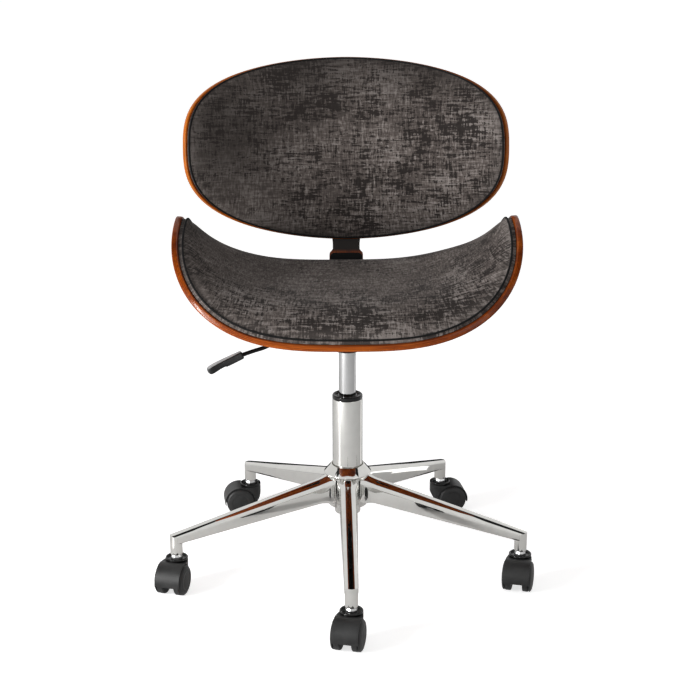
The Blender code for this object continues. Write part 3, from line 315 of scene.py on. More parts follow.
def addNode(tree, kind, inputs=None, **settings):
    node = tree.nodes.new(kind)
    for key, value in settings.items():
        setattr(node, key, value)
    for key, value in (inputs or {}).items():
        feed(tree, node.inputs[key], value)
    return node


def ramp(tree, factor, stops):
    node = addNode(tree, "ShaderNodeValToRGB", {"Fac": factor})
    elements = node.color_ramp.elements
    while len(elements) < len(stops):
        elements.new(0.5)
    for element, (position, colour) in zip(elements, stops):
        element.position = position
        element.color = (*colour, 1.0)
    return node.outputs["Color"]


def grey(value):
    return (value, value, value)


def attributeOf(tree, name, output):
    return addNode(tree, "ShaderNodeAttribute", attribute_name=name).outputs[output]


def objectPlace(tree):
    return addNode(tree, "ShaderNodeTexCoord").outputs["Object"]


def scaledNoise(tree, vector, scale, detail=3.0, roughness=0.5):
    mapping = addNode(tree, "ShaderNodeMapping", {"Vector": vector, "Scale": scale})
    noise = addNode(tree, "ShaderNodeTexNoise", {"Vector": mapping.outputs["Vector"], "Scale": 1.0,
                                                 "Detail": detail, "Roughness": roughness})
    return noise.outputs["Fac"]


def combineValues(tree, operation, *values):
    inputs = dict(enumerate(values))
    return addNode(tree, "ShaderNodeMath", inputs, operation=operation).outputs["Value"]


def weighted(tree, *pairs):
    # sum of values times their weights
    total = 0.0
    for value, weight in pairs:
        total = combineValues(tree, "MULTIPLY_ADD", value, weight, total)
    return total


def mixColours(tree, factor, first, second, blend="MIX"):
    inputs = {"Factor": factor, "A": first, "B": second}
    return addNode(tree, "ShaderNodeMix", inputs, data_type="RGBA", blend_type=blend).outputs["Result"]


def setShader(tree, shader, **values):
    # camelCase names of the shader's sockets, such as baseColor
    for socket in shader.inputs:
        words = socket.name.replace("IOR", "Ior").split(" ")
        key = words[0].lower() + "".join(words[1:])
        if key in values:
            feed(tree, socket, values[key])


def addBump(tree, shader, height, strength, distance):
    bump = addNode(tree, "ShaderNodeBump", {"Height": height, "Strength": strength, "Distance": distance})
    tree.links.new(bump.outputs["Normal"], shader.inputs["Normal"])


velvetLook = {
    "deep": (0.0120, 0.0090, 0.0080),      # crushed marks
    "dark": (0.053, 0.0435, 0.0395),
    "middle": (0.099, 0.0820, 0.0740),
    "pale": (0.240, 0.212, 0.198),
    # painted light: the lighter colour given to the boxing and the pad's rolled edge
    "boxing": (0.112, 0.097, 0.089),
    "dull": (0.022, 0.0180, 0.0160),       # painted shade: the darker colour mixed in where the pads are made to look turned away from the lamps
    "sheen": 0.07,
    # noise over the flat cloth: scale, detail, roughness
    "noises": (((15, 20, 30), 2.0, 0.55), ((44, 300, 40), 3.0, 0.65), ((300, 50, 40), 3.0, 0.65),
               ((340, 80, 60), 2.0, 0.6), ((80, 340, 60), 2.0, 0.6), ((9, 12, 30), 2.0, 0.5),
               ((20, 260, 30), 3.0, 0.65)),
}


def makeVelvet():
    # crushed velvet: a fine woven pile with clusters of flattened dark marks and pale streaks
    look = velvetLook
    material, tree, shader = newMaterial("crushedVelvet")
    cloth = attributeOf(tree, "cloth", "Vector")
    wear, nap, dull = [attributeOf(tree, name, "Fac") for name in ("wear", "nap", "dull")]
    noises = [scaledNoise(tree, cloth, *values) for values in look["noises"]]
    clusters, rowMarks, columnMarks, weaveUp, weaveAcross, patches, streaks = noises
    depth = weighted(tree, (rowMarks, 1.45), (columnMarks, 1.15), (clusters, 0.8), (wear, 0.20))
    depth = combineValues(tree, "SUBTRACT", depth, 1.2)
    crushed = ramp(tree, depth, ((0.54, grey(0.0)), (0.63, grey(0.95))))
    weave = weighted(tree, (weaveUp, 0.62), (weaveAcross, 0.38))
    pile = weighted(tree, (weave, 0.85), (patches, 0.30), (streaks, 0.30))
    colour = ramp(tree, pile, ((0.62, look["dark"]), (0.725, look["middle"]), (0.87, look["pale"])))
    shiny = weighted(tree, (streaks, 0.7), (patches, 0.5), (wear, 0.05))
    brushed = ramp(tree, shiny, ((0.66, grey(0.0)), (0.76, grey(0.6))))
    colour = mixColours(tree, brushed, colour, look["pale"])
    # painted shade: darker towards the listed places, as if turned away from the lamps
    colour = mixColours(tree, dull, colour, look["dull"])
    colour = mixColours(tree, crushed, colour, look["deep"])
    # painted light on the boxing and the pad's rolled edge, held back where the painted shade is
    paintedLift = combineValues(tree, "MULTIPLY", nap, combineValues(tree, "SUBTRACT", 1.0, dull))
    colour = mixColours(tree, paintedLift, colour, look["boxing"])
    height = weighted(tree, (weave, 0.6), (crushed, -0.45))
    setShader(tree, shader, baseColor=colour, roughness=0.8, specularIorLevel=0.15,
              sheenWeight=look["sheen"], sheenRoughness=0.4, sheenTint=(0.80, 0.75, 0.72))
    addBump(tree, shader, height, 0.55, 0.0010)
    return material


def makeWelt():
    material, tree, shader = newMaterial("weltCord")
    weave = scaledNoise(tree, objectPlace(tree), (900, 900, 900), 2.0, 0.6)
    colour = ramp(tree, weave, ((0.35, grey(0.002)), (0.7, grey(0.010))))
    setShader(tree, shader, baseColor=colour, roughness=0.7, specularIorLevel=0.1)
    addBump(tree, shader, weave, 0.4, 0.0004)
    return material


walnutLook = {
    "dark": (0.095, 0.013, 0.0010),
    "middle": (0.200, 0.035, 0.0015),
    "pale": (0.340, 0.072, 0.0030),
    "light": (0.560, 0.150, 0.0050),       # painted light: the paler colour of the back's edge, which the lamp at the left lights
    # painted shadow: the dark colour of the spine's waist in the gap between seat and back
    "smoked": (0.012, 0.0072, 0.0050),
    "plyThickness": 0.0025,
    "gloss": 0.25,
    # noise along the grain: scale, detail, roughness
    "figure": ((2.5, 30, 30), 4.0, 0.6),
    "pores": ((14, 420, 420), 3.0, 0.6),
}


def makeWalnut():
    # stained veneer: the grain runs across the chair, and the edge shows its plies
    look = walnutLook
    material, tree, shader = newMaterial("glossyWalnut")
    grain = attributeOf(tree, "grain", "Vector")
    smoke, tint = [attributeOf(tree, name, "Fac") for name in ("smoke", "tint")]
    figure = scaledNoise(tree, grain, *look["figure"])
    pores = scaledNoise(tree, grain, *look["pores"])
    mixed = weighted(tree, (figure, 0.7), (pores, 0.3))
    colour = ramp(tree, mixed, ((0.38, look["dark"]), (0.50, look["middle"]), (0.62, look["pale"])))
    # painted light: the back's edge is made paler
    colour = mixColours(tree, tint, colour, look["light"])
    depth = addNode(tree, "ShaderNodeSeparateXYZ", {"Vector": grain}).outputs["Z"]
    turns = combineValues(tree, "MULTIPLY", depth, 2 * math.pi / look["plyThickness"])
    plies = combineValues(tree, "SINE", turns)
    shade = ramp(tree, weighted(tree, (plies, 0.5), (1.0, 0.5)), ((0.0, grey(0.55)), (0.45, grey(1.0))))
    colour = mixColours(tree, 1.0, colour, shade, "MULTIPLY")
    # painted shadow on the spine above its shoulders
    colour = mixColours(tree, smoke, colour, look["smoked"])
    setShader(tree, shader, baseColor=colour, roughness=0.45, specularIorLevel=0.05,
              coatWeight=look["gloss"], coatRoughness=0.13)
    addBump(tree, shader, pores, 0.02, 0.0003)
    return material


def makeMetal(name, roughness, tone):
    # plated metal with a faint haze
    material, tree, shader = newMaterial(name)
    haze = scaledNoise(tree, objectPlace(tree), (60, 60, 60), 3.0, 0.5)
    dim = tuple(channel * 0.93 for channel in tone)
    rough = ramp(tree, haze, ((0.3, grey(roughness)), (0.8, grey(roughness * 1.6))))
    colour = ramp(tree, haze, ((0.3, dim), (0.7, tone)))
    setShader(tree, shader, baseColor=colour, metallic=1.0, roughness=rough)
    return material


def makePlastic(name, dark, light, roughness, grainSize, grainDepth, shine, reflectionTone=None):
    # moulded plastic: fine spark texture, faint scuffs, and, when given a tone, a painted reflection that
    # makes the upper face paler
    material, tree, shader = newMaterial(name)
    place = objectPlace(tree)
    grain = scaledNoise(tree, place, (grainSize, grainSize, grainSize), 2.0, 0.6)
    scuffs = scaledNoise(tree, place, (45, 45, 45), 4.0, 0.6)
    tone = weighted(tree, (grain, 0.4), (scuffs, 0.6))
    rough = ramp(tree, scuffs, ((0.35, grey(roughness * 0.85)), (0.7, grey(min(1.0, roughness * 1.15)))))
    colour = ramp(tree, tone, ((0.35, dark), (0.65, light)))
    if reflectionTone:
        # painted reflection: the upper face is paler, broken up by the scuffs
        rubbed = combineValues(tree, "MULTIPLY", attributeOf(tree, "rubbed", "Fac"),
                               ramp(tree, scuffs, ((0.35, grey(0.7)), (0.6, grey(1.0)))))
        colour = mixColours(tree, rubbed, colour, reflectionTone)
    setShader(tree, shader, baseColor=colour, roughness=rough, specularIorLevel=shine)
    addBump(tree, shader, grain, 0.25, grainDepth)
    return material


materials = {
    "velvet": makeVelvet(),
    "welt": makeWelt(),
    "walnut": makeWalnut(),
    "chrome": makeMetal("mirrorChrome", 0.03, (0.630, 0.624, 0.600)),
    "tube": makeMetal("polishedTube", 0.06, (0.52, 0.52, 0.52)),
    "steel": makeMetal("platedSteel", 0.28, (0.50, 0.50, 0.50)),
    "caster": makePlastic("casterNylon", grey(0.012), grey(0.024), 0.45, 1400.0, 0.0003, 0.25),
    "collar": makePlastic("collarNylon", grey(0.002), grey(0.004), 0.14, 1400.0, 0.0001, 0.30),
    "black": makePlastic("satinBlack", grey(0.002), grey(0.004), 0.45, 1400.0, 0.0002, 0.12),
    # the paddle's last value is the tone of the painted reflection on its upper face
    "paddle": makePlastic("paddlePlastic", grey(0.002), grey(0.006), 0.28, 1100.0, 0.0003, 0.30, grey(0.26)),
}
print("materials ready")


# Bent sheets: seat and back are flat blanks, pressed to a bend

def bentSheet(values, place):
    # returns the map from flat (across, along, height) to the chair
    arcs = np.linspace(0.0, values["halfArc"] * 1.03, 600)
    angles = values["endAngle"] * (arcs / values["halfArc"]) ** values["bendPower"]
    middles = (angles[1:] + angles[:-1]) / 2
    step = arcs[1] - arcs[0]
    outs = np.concatenate([[0.0], np.cumsum(np.cos(middles) * step)])
    ups = np.concatenate([[0.0], np.cumsum(np.sin(middles) * step)])

    def bend(flat):
        side = -1.0 if flat[0] < 0 else 1.0
        arcLength = abs(flat[0])
        angle = np.interp(arcLength, arcs, angles)
        out = np.interp(arcLength, arcs, outs) - flat[2] * math.sin(angle)
        up = np.interp(arcLength, arcs, ups) + flat[2] * math.cos(angle)
        return place @ Vector((side * out, flat[1], up))

    return bend


def ringScales(rings, crowding):
    # shares of the outline's size from the middle out, closer together near the edge
    return [1.0 - (1.0 - ring / rings) ** crowding for ring in range(1, rings)]


def blankRows(values, skins, count):
    # rows of (inset, height, scale) round the blank's outline
    rows = []
    for inset, height, scale in skins:
        oval = superOval(values["halfArc"] - inset, values["halfAlong"] - inset, values["outline"], count)
        rows.append([Vector((x * scale, y * scale, height)) for x, y in oval])
    return rows


def bendMesh(bm, bend, layerName):
    # keeps each point's flat place as a layer for the material, then bends the mesh
    layer = bm.verts.layers.float_vector.new(layerName)
    for vert in bm.verts:
        vert[layer] = vert.co
        vert.co = bend(vert.co)
    bmesh.ops.recalc_face_normals(bm, faces=bm.faces)


seatSheet = {
    "halfArc": 0.3637,
    "endAngle": math.radians(98),
    "bendPower": 2.14,
    "halfAlong": 0.226,
    "outline": (2.8, 1.65),
    "shellThickness": 0.010,
    "padInset": 0.0034,
    "padEdge": 0.008,
    "padCrown": 0.045,
    "tint": 0.0,
    "centreBehind": 0.011,     # middle of the seat behind the column
    # places where the pad is fuller: across, along, reach, rise
    "fullPlaces": ((0.19, 0.12, 0.10, 0.005),),
    # places of painted shade on the pad: across, along, reach, amount
    "dullPlaces": ((-0.30, 0.0, 0.16, 0.25), (-0.37, 0.03, 0.07, 0.45), (0.0, 0.20, 0.10, 0.15)),
    # places where the velvet is more or less crushed: across, along, reach, amount
    "wearPlaces": ((-0.06, -0.17, 0.07, 0.75), (0.17, -0.16, 0.07, 0.9), (0.02, -0.19, 0.05, 0.7),
                   (-0.2, 0.0, 0.13, -0.5), (0.0, 0.0, 0.13, -0.6), (0.27, -0.05, 0.06, 0.3)),
}
backSheet = {
    "halfArc": 0.2985,
    "endAngle": math.radians(34.4),
    "bendPower": 1.0,
    "halfAlong": 0.1595,
    "outline": (1.89, 2.76),
    "shellThickness": 0.010,
    "padInset": 0.0034,
    "padEdge": 0.009,
    "padCrown": 0.028,
    # share of painted light on this shell's edge
    "tint": 0.55,
    "frontBehind": 0.285,      # front of the back's shell behind the column
    "middleAboveSeat": 0.226,
    "recline": math.radians(10.9),
    "fullPlaces": (),
    # places of painted shade on the pad: across, along, reach, amount
    "dullPlaces": ((-0.25, 0.02, 0.16, 0.90), (-0.06, 0.16, 0.10, 0.75), (0.11, 0.17, 0.09, 0.75),
                   (0.22, 0.13, 0.07, 0.4), (-0.1, -0.16, 0.09, 0.25), (0.1, -0.18, 0.08, 0.25)),
    "wearPlaces": ((0.17, 0.0, 0.10, 0.5), (-0.01, -0.05, 0.08, 0.35), (-0.12, 0.11, 0.07, 0.45),
                   (-0.17, -0.08, 0.11, -0.7), (0.14, -0.13, 0.08, -0.4), (0.05, 0.05, 0.06, -0.2)),
}
seatUnder = nodeBottom("seat_shell")
seatPlace = Matrix.Translation((column.x, column.y + seatSheet["centreBehind"], seatUnder))
backMiddle = Vector((column.x, column.y + backSheet["frontBehind"],
                     seatUnder + backSheet["middleAboveSeat"]))
backPlace = (Matrix.Translation(backMiddle) @ Matrix.Rotation(math.pi / 2 - backSheet["recline"], 4, "X")
             @ Matrix.Translation((0, 0, -backSheet["shellThickness"])))
bendSeat = bentSheet(seatSheet, seatPlace)
bendBack = bentSheet(backSheet, backPlace)

shellLook = {
    "outlineCount": 200,
    "skinRings": 22,
    "crowding": 1.3,
    "easedEdge": 0.0022,
    "easeSteps": 4,
}


def makeShell(name, values, bend, node):
    thick = values["shellThickness"]
    ease = shellLook["easedEdge"]
    steps = shellLook["easeSteps"]
    scales = ringScales(shellLook["skinRings"], shellLook["crowding"])
    turns = [math.pi / 2 * step / steps for step in range(steps + 1)]
    skins = [(ease, 0.0, scale) for scale in scales]
    skins += [(ease * (1 - math.sin(turn)), ease * (1 - math.cos(turn)), 1.0) for turn in turns]
    skins += [(ease * (1 - math.cos(turn)), thick - ease * (1 - math.sin(turn)), 1.0) for turn in turns]
    skins += [(ease, thick, scale) for scale in reversed(scales)]
    bm = growRows(blankRows(values, skins, shellLook["outlineCount"]))
    bmesh.ops.poke(bm, faces=endFaces(bm))
    skin = 0.05 * ease
    # painted light on the shell's edge, between its eased faces; none on the seat
    addLayer(bm, "tint", [values["tint"] if skin < vert.co.z < thick - skin else 0.0 for vert in bm.verts])
    bendMesh(bm, bend, "grain")
    finishPiece(name, bm, "walnut", "seat", (node,), 60.0)


makeShell("seat_bentwood", seatSheet, bendSeat, "seat_shell")
makeShell("back_bentwood", backSheet, bendBack, "back_shell")
print("bentwood shells done")

padLook = {
    "outlineCount": 200,
    "skinRings": 26,
    "crowding": 1.5,
    "pressure": 4.0,
    "stretchStiffness": 20.0,
    "bendStiffness": 2.0,
    "frames": 20,
    "mostMove": 0.003,
    "eveningRounds": 60,       # which take out the swelling's ripples
    "crownPower": 6.0,
    "shoulderPower": 0.62,
    "startLower": 0.002,       # room left for the swelling
    "drawnIn": 0.0008,
    "easedFoot": 0.001,
    "rim": 0.002,              # roll over the boxing's upper edge
    "boxingNap": 0.25,         # painted light: how much lighter the boxing and the pad's edge are made
    "napReach": 0.035,
    "mostDull": 0.85,
    "fill": 0.85,
}


def softPlaces(point, places):
    # sum of soft round spots: across, along, reach, amount
    return sum(amount * math.exp(-((point.x - across) ** 2 + (point.y - along) ** 2) / reach ** 2)
               for across, along, reach, amount in places)


def makeCushion(name, values, bend, node):
    look = padLook
    base = values["shellThickness"] + clearance
    edge = values["padEdge"]
    inset = values["padInset"]
    sewn = base + edge + look["rim"]
    rise = values["padCrown"] - edge - look["rim"] - look["startLower"]
    foot, rim, drawn = look["easedFoot"], look["rim"], inset + look["drawnIn"]
    scales = ringScales(look["skinRings"], look["crowding"])
    skins = [(inset + foot, base, scale) for scale in scales]
    skins += [(inset + foot, base, 1.0), (inset, base + foot, 1.0),
              (drawn, base + edge * 0.35, 1.0), (drawn, base + edge * 0.65, 1.0),
              (inset, base + edge - foot, 1.0), (inset + rim * 0.6, base + edge + rim * 0.3, 1.0),
              (inset + rim * 1.6, sewn, 1.0)]
    skins += [(inset + rim * 1.6, sewn + rise * (1.0 - scale ** look["crownPower"]) ** look["shoulderPower"],
               scale) for scale in reversed(scales)]
    bm = growRows(blankRows(values, skins, look["outlineCount"]))
    bmesh.ops.poke(bm, faces=endFaces(bm))
    for vert in bm.verts:
        if vert.co.z > sewn:
            share = (vert.co.z - sewn) / rise
            vert.co.z += share * softPlaces(vert.co, values["fullPlaces"])
    # painted light: lighter towards the boxing and the pad's edge
    paintedLights = [look["boxingNap"] * math.exp(-((1.0 - skin[2]) / look["napReach"]) ** 2) for skin in skins]
    paintedLights += [0.0]              # at the poles, which come last
    mesh = meshFrom(name, bm)
    swell(name, mesh, sewn)
    bm = bmesh.new()
    bm.from_mesh(mesh)
    bpy.data.meshes.remove(mesh)
    addLayer(bm, "wear", [softPlaces(vert.co, values["wearPlaces"]) for vert in bm.verts])
    addLayer(bm, "nap", [paintedLights[vert.index // look["outlineCount"]] for vert in bm.verts])
    # painted shade: darker at the listed places, up to a limit
    addLayer(bm, "dull", [min(look["mostDull"], softPlaces(vert.co, values["dullPlaces"]))
                          for vert in bm.verts])
    bendMesh(bm, bend, "cloth")
    cushion = finishPiece(name, bm, "velvet", "seat", (node,), 180.0)
    smooth = cushion.modifiers.new("smooth", "SUBSURF")
    smooth.levels = smooth.render_levels = 1


def swell(name, mesh, sewnHeight):
    # inflates the flat pad a little, held along its boxing, and evens out the ripples
    pad = addObject(name, mesh)
    held = pad.vertex_groups.new(name="held")
    held.add([vert.index for vert in mesh.vertices if vert.co.z <= sewnHeight], 1.0, "REPLACE")
    cloth = pad.modifiers.new("cloth", "CLOTH")
    settings = cloth.settings
    settings.quality = 5
    settings.mass = 0.3
    settings.tension_stiffness = settings.compression_stiffness = padLook["stretchStiffness"]
    settings.bending_stiffness = padLook["bendStiffness"]
    settings.use_pressure = True
    settings.uniform_pressure_force = padLook["pressure"]
    settings.vertex_group_mass = "held"
    settings.effector_weights.gravity = 0.0
    cloth.collision_settings.use_collision = False
    before = np.array([vert.co for vert in mesh.vertices])
    scene = bpy.context.scene
    for number in range(1, padLook["frames"] + 1):
        scene.frame_set(number)
    after = evaluated(pad)
    after.verts.ensure_lookup_table()
    moved = np.array([vert.co for vert in after.verts]) - before
    after.free()
    ends = np.array([edge.vertices for edge in mesh.edges])
    loose = np.array([vert.co.z > sewnHeight for vert in mesh.vertices])[:, None]
    count = np.bincount(ends.ravel(), minlength=len(moved))[:, None]
    for number in range(padLook["eveningRounds"]):
        total = np.zeros_like(moved)
        np.add.at(total, ends[:, 0], moved[ends[:, 1]])
        np.add.at(total, ends[:, 1], moved[ends[:, 0]])
        moved = total / count * loose
    length = np.linalg.norm(moved, axis=1)
    share = np.minimum(1.0, padLook["mostMove"] / np.maximum(length, 1e-9))
    places = before + moved * share[:, None]
    bpy.data.objects.remove(pad, do_unlink=True)
    mesh.vertices.foreach_set("co", places.ravel())
    scene.frame_set(1)
    print(name, "swelled by up to", round(float(length.max()) * 1000, 1), "mm")


weltLook = {"radius": 0.0016, "outside": 0.0004, "rise": -0.0006, "count": 300, "sides": 10,
            "near": 0.01}      # reach of the points that give a section's directions


def makeWeltCord(name, values, bend, node):
    # welt sewn into the pad's upper edge
    radius, near, sides = weltLook["radius"], weltLook["near"], weltLook["sides"]
    height = values["shellThickness"] + clearance + values["padEdge"] + weltLook["rise"]
    inset = values["padInset"] - weltLook["outside"]
    halfWide, halfHigh = values["halfArc"] - inset, values["halfAlong"] - inset
    centres = superOval(halfWide, halfHigh, values["outline"], weltLook["count"])
    inner = superOval(halfWide - near, halfHigh - near, values["outline"], weltLook["count"])
    rows = []
    for (x, y), (nearX, nearY) in zip(centres, inner):
        centre = bend((x, y, height))
        inward = (bend((nearX, nearY, height)) - centre).normalized()
        lift = (bend((x, y, height + near)) - centre).normalized()
        rows.append(ringRound(centre, inward, lift, radius, sides))
    bm = growRows(rows + [rows[0]])
    bmesh.ops.delete(bm, geom=endFaces(bm), context="FACES_ONLY")
    bmesh.ops.remove_doubles(bm, verts=bm.verts, dist=1e-6)
    bmesh.ops.recalc_face_normals(bm, faces=bm.faces)
    finishPiece(name, bm, "welt", "seat", (node,), 180.0)


makeCushion("seat_cushion", seatSheet, bendSeat, "seat_pad")
makeCushion("back_cushion", backSheet, bendBack, "back_pad")
makeWeltCord("seat_welt", seatSheet, bendSeat, "seat_piping")
makeWeltCord("back_welt", backSheet, bendBack, "back_piping")
print("pads and welts done")


# Bentwood spine from under the seat to behind the back

spineLook = {
    "thickness": 0.013,
    "corner": 0.0035,
    "bendRadius": 0.019,
    "footStart": 0.088,        # behind the column
    "footWidth": 0.060,
    "waistWidth": 0.048,
    "headWidth": 0.066,
    "bracketThickness": 0.003,
    "bracketRise": 0.044,      # top of the steel bracket above the seat's underside
    "topAlong": 0.045,
    "bendSteps": 14,
    "smokeStart": 0.0005,      # painted shadow begins this far above the shoulders
    "smokeEnd": 0.0045,
}


def backLine(along, behind):
    # point in the middle plane, up the back's slope and behind its front face
    sine, cosine = math.sin(backSheet["recline"]), math.cos(backSheet["recline"])
    return backMiddle + Vector((0, along * sine + behind * cosine, along * cosine - behind * sine))


def spineStations():
    # (place, direction away from the sitter, width) from the foot to the head
    look = spineLook
    recline = backSheet["recline"]
    sine, cosine = math.sin(recline), math.cos(recline)
    behind = backSheet["shellThickness"] + clearance
    footTop = seatUnder - 2 * clearance - look["bracketThickness"]
    cornerPlace = backLine((footTop - backMiddle.z + behind * sine) / cosine, behind)
    turn = math.pi / 2 - recline
    bendY = cornerPlace.y - look["bendRadius"] * math.tan(turn / 2)
    down = Vector((0, 0, -1))
    start = column.y + look["footStart"]
    stations = [(Vector((column.x, start + reach, footTop)), down, look["footWidth"] - trim)
                for reach, trim in ((0.0, 0.016), (0.002, 0.006), (0.006, 0.0), (0.03, 0.0))]
    for step in range(look["bendSteps"] + 1):
        angle = turn * step / look["bendSteps"]
        away = Vector((0, math.sin(angle), -math.cos(angle)))
        centre = Vector((column.x, bendY, footTop + look["bendRadius"]))
        stations.append((centre + away * look["bendRadius"], away, look["footWidth"]))
    away = Vector((0, cosine, -sine))
    shoulder = (seatUnder + look["bracketRise"] - backMiddle.z) / cosine
    waist = -backSheet["halfAlong"] - 0.008 / cosine
    waistWidth, headWidth, top = look["waistWidth"], look["headWidth"], look["topAlong"]
    rows = [(shoulder - 0.004, look["footWidth"]), (shoulder + 0.001, look["footWidth"] - 0.0008),
            (shoulder + 0.003, look["footWidth"] - 0.004), (shoulder + 0.0055, waistWidth + 0.003),
            (shoulder + 0.008, waistWidth), (waist, waistWidth), (waist + 0.05, waistWidth + 0.010),
            (waist + 0.09, headWidth), (top - 0.030, headWidth), (top - 0.018, headWidth - 0.003),
            (top - 0.008, headWidth - 0.012), (top - 0.002, headWidth - 0.026), (top, headWidth - 0.036)]
    return stations + [(backLine(along, behind), away, width) for along, width in rows]


def makeSpine():
    look = spineLook
    rows, flats, paintedShadows = [], [], []
    travel = 0.0
    before = None
    shoulderZ = seatUnder + look["bracketRise"]
    for place, away, width in spineStations():
        half, thick = width / 2, look["thickness"]
        corners = [(-half, 0), (half, 0), (half, thick), (-half, thick)]
        loop = roundLoop(corners, [look["corner"]] * 4, 4)
        if before is not None:
            travel += (place - before).length
        before = place
        rows.append([place + Vector((across, 0, 0)) + away * depth for across, depth in loop])
        flats += [Vector((travel, across, depth)) for across, depth in loop]
        # painted shadow: darker from just above the shoulders upwards
        paintedShadows += [clamped(place.z - shoulderZ, look["smokeStart"], look["smokeEnd"])] * len(loop)
    bm = growRows(rows)
    layer = bm.verts.layers.float_vector.new("grain")
    for vert, flat in zip(bm.verts, flats):
        vert[layer] = flat
    addLayer(bm, "smoke", paintedShadows)
    finishPiece("spine_bentwood", bm, "walnut", "seat", ("back_spine",), 50.0)


makeSpine()
print("spine done")


# Chrome base

baseLook = {
    "casterCircle": 0.2972,
    "rootWidth": 0.031,
    "rootHeight": 0.0425,
    "rootZ": 0.144,
    "tipHeight": 0.0175,
    "tipZ": 0.0885,
    "tipWider": 0.0014,        # tip's width over the socket's
    "ridgeWidth": 0.010,
    "shoulderDrop": 0.21,      # of the section's height
    "cornerRadii": (0.0032, 0.0060, 0.0065),
    "flare": 0.0045,           # how far the root spreads up and down where it meets the hub
    "sideFlare": 0.0026,
    "flareLength": 0.020,
    "socketRadius": 0.0103,
    "socketBottom": 0.062,
    "stemRadius": 0.0058,
    "boreDepth": 0.025,
    "easedEdge": 0.0006,
    "rootStart": 0.86,         # of the hub's lip, where the flare begins
    "flareRows": 8,
    "planHalf": 0.05,          # half width of the plan that trims the tip, past the leg's sides
    "planTop": 0.25,
    "tipTrim": 0.002,          # how far the trimmed end laps the socket
}
hubLook = {
    "bodyRadius": 0.0328,
    "lipRadius": 0.0392,
    "lipHeight": 0.0015,
    "neck": 0.007,
    "coneHeight": 0.0133,
    "topRadius": 0.0280,
    "grooveWidth": 0.0016,     # round the column
    "grooveDepth": 0.0035,
    "tubeRadius": 0.025,
}


def legSection(x, grow=0.0):
    # narrow ridge, sloping shoulders, upright sides and a rounded underside
    look = baseLook
    share = (x - hubLook["bodyRadius"]) / (look["casterCircle"] - hubLook["bodyRadius"])
    tipWidth = 2 * look["socketRadius"] + look["tipWider"]
    half = (look["rootWidth"] + (tipWidth - look["rootWidth"]) * share) / 2 + grow * look["sideFlare"]
    high = look["rootHeight"] + (look["tipHeight"] - look["rootHeight"]) * share
    top = look["rootZ"] + (look["tipZ"] - look["rootZ"]) * share + high / 2 + grow * look["flare"]
    bottom = top - high - 2 * grow * look["flare"]
    shoulder = top - high * look["shoulderDrop"] - grow * look["flare"]
    right = [(look["ridgeWidth"] / 2, top), (half, shoulder), (half, bottom)]
    corners = right + [(-u, z) for u, z in reversed(right)]
    radii = look["cornerRadii"] + tuple(reversed(look["cornerRadii"]))
    return [Vector((x, u, z)) for u, z in roundLoop(corners, radii, 8)]


def makeLeg(number):
    look = baseLook
    tip = look["casterCircle"]
    socket = look["socketRadius"]
    start = hubLook["lipRadius"] * look["rootStart"]
    count, trim, side = look["flareRows"], look["tipTrim"], look["planHalf"]
    rows = [legSection(hubLook["bodyRadius"] * 0.75, 1.0), legSection(start, 1.0)]
    for step in range(count + 1):
        rows.append(legSection(start + look["flareLength"] * step / count, (1 - step / count) ** 2))
    rows.append(legSection(tip + socket + trim))
    plan = [(0.0, -side), (tip - trim, -side)] + arc(tip, 0, socket, -88, 88, 24)
    plan += [(tip - trim, side), (0.0, side)]
    leg = carve(growRows(rows), slab(plan, 0.0, look["planTop"]), "INTERSECT")
    bottom, top = look["socketBottom"], look["tipZ"]
    tube = turned([(0, bottom), (socket, bottom), (socket, top), (0, top)], 0.0008, 48, (tip, 0, 0))
    leg = carve(leg, tube, "UNION")
    wide, low, high = look["stemRadius"], bottom - 0.01, bottom + look["boreDepth"]
    leg = carve(leg, lathe([(0, low), (wide, low), (wide, high), (0, high)], 32, (tip, 0, 0)))
    swivel = frameJoints[f"caster_{number}_swivel"]["pos_m"]
    around = math.atan2(swivel[1] - column.y, swivel[0] - column.x)
    leg = transformed(leg, Matrix.Translation(column) @ Matrix.Rotation(around, 4, "Z"))
    node = f"base_leg_{number}"
    piece = finishPiece(f"chrome_leg_{number}", leg, "chrome", "base", (node,), 30.0)
    addBevel(piece, look["easedEdge"], 2)


def makeHub():
    look = hubLook
    body, lip, tube = look["bodyRadius"], look["lipRadius"], look["tubeRadius"]
    neck, groove = look["neck"], look["grooveDepth"]
    bottom, top = nodeBottom("base_hub"), nodeTop("base_hub")
    shoulder = top - look["coneHeight"]
    lipBottom = shoulder - look["lipHeight"]
    spread = lip - body
    profile = [(tube - 0.003, bottom), (body, bottom), (body, lipBottom - neck),
               (body + spread * 0.12, lipBottom - neck * 0.65),
               (body + spread * 0.4, lipBottom - neck * 0.3),
               (lip, lipBottom), (lip, shoulder), (look["topRadius"], top),
               (tube + look["grooveWidth"], top), (tube + 0.0004, top - groove),
               (tube - 0.003, top - groove - 0.002)]
    turnedPiece("chrome_hub", profile, 0.0012, "chrome", "base", "base_hub")


for legNumber in range(1, 6):
    makeLeg(legNumber)
makeHub()
print("chrome base done")

# Gas lift

liftLook = {
    "tubeRadius": 0.025,
    "tubeWall": 0.0018,
    "bottomRadius": 0.0215,
    "innerRadius": 0.014,
    "innerTopRadius": 0.013,
    "taperLength": 0.042,
    "ringDepth": 0.020,        # of the ring inside the column
    "ringEase": 0.0012,
    "ringDish": 0.0028,        # depth of the hollow in its upper face
    "rodBore": 0.0053,
    "buttonWell": 0.0045,
    "wellDepth": 0.008,
}


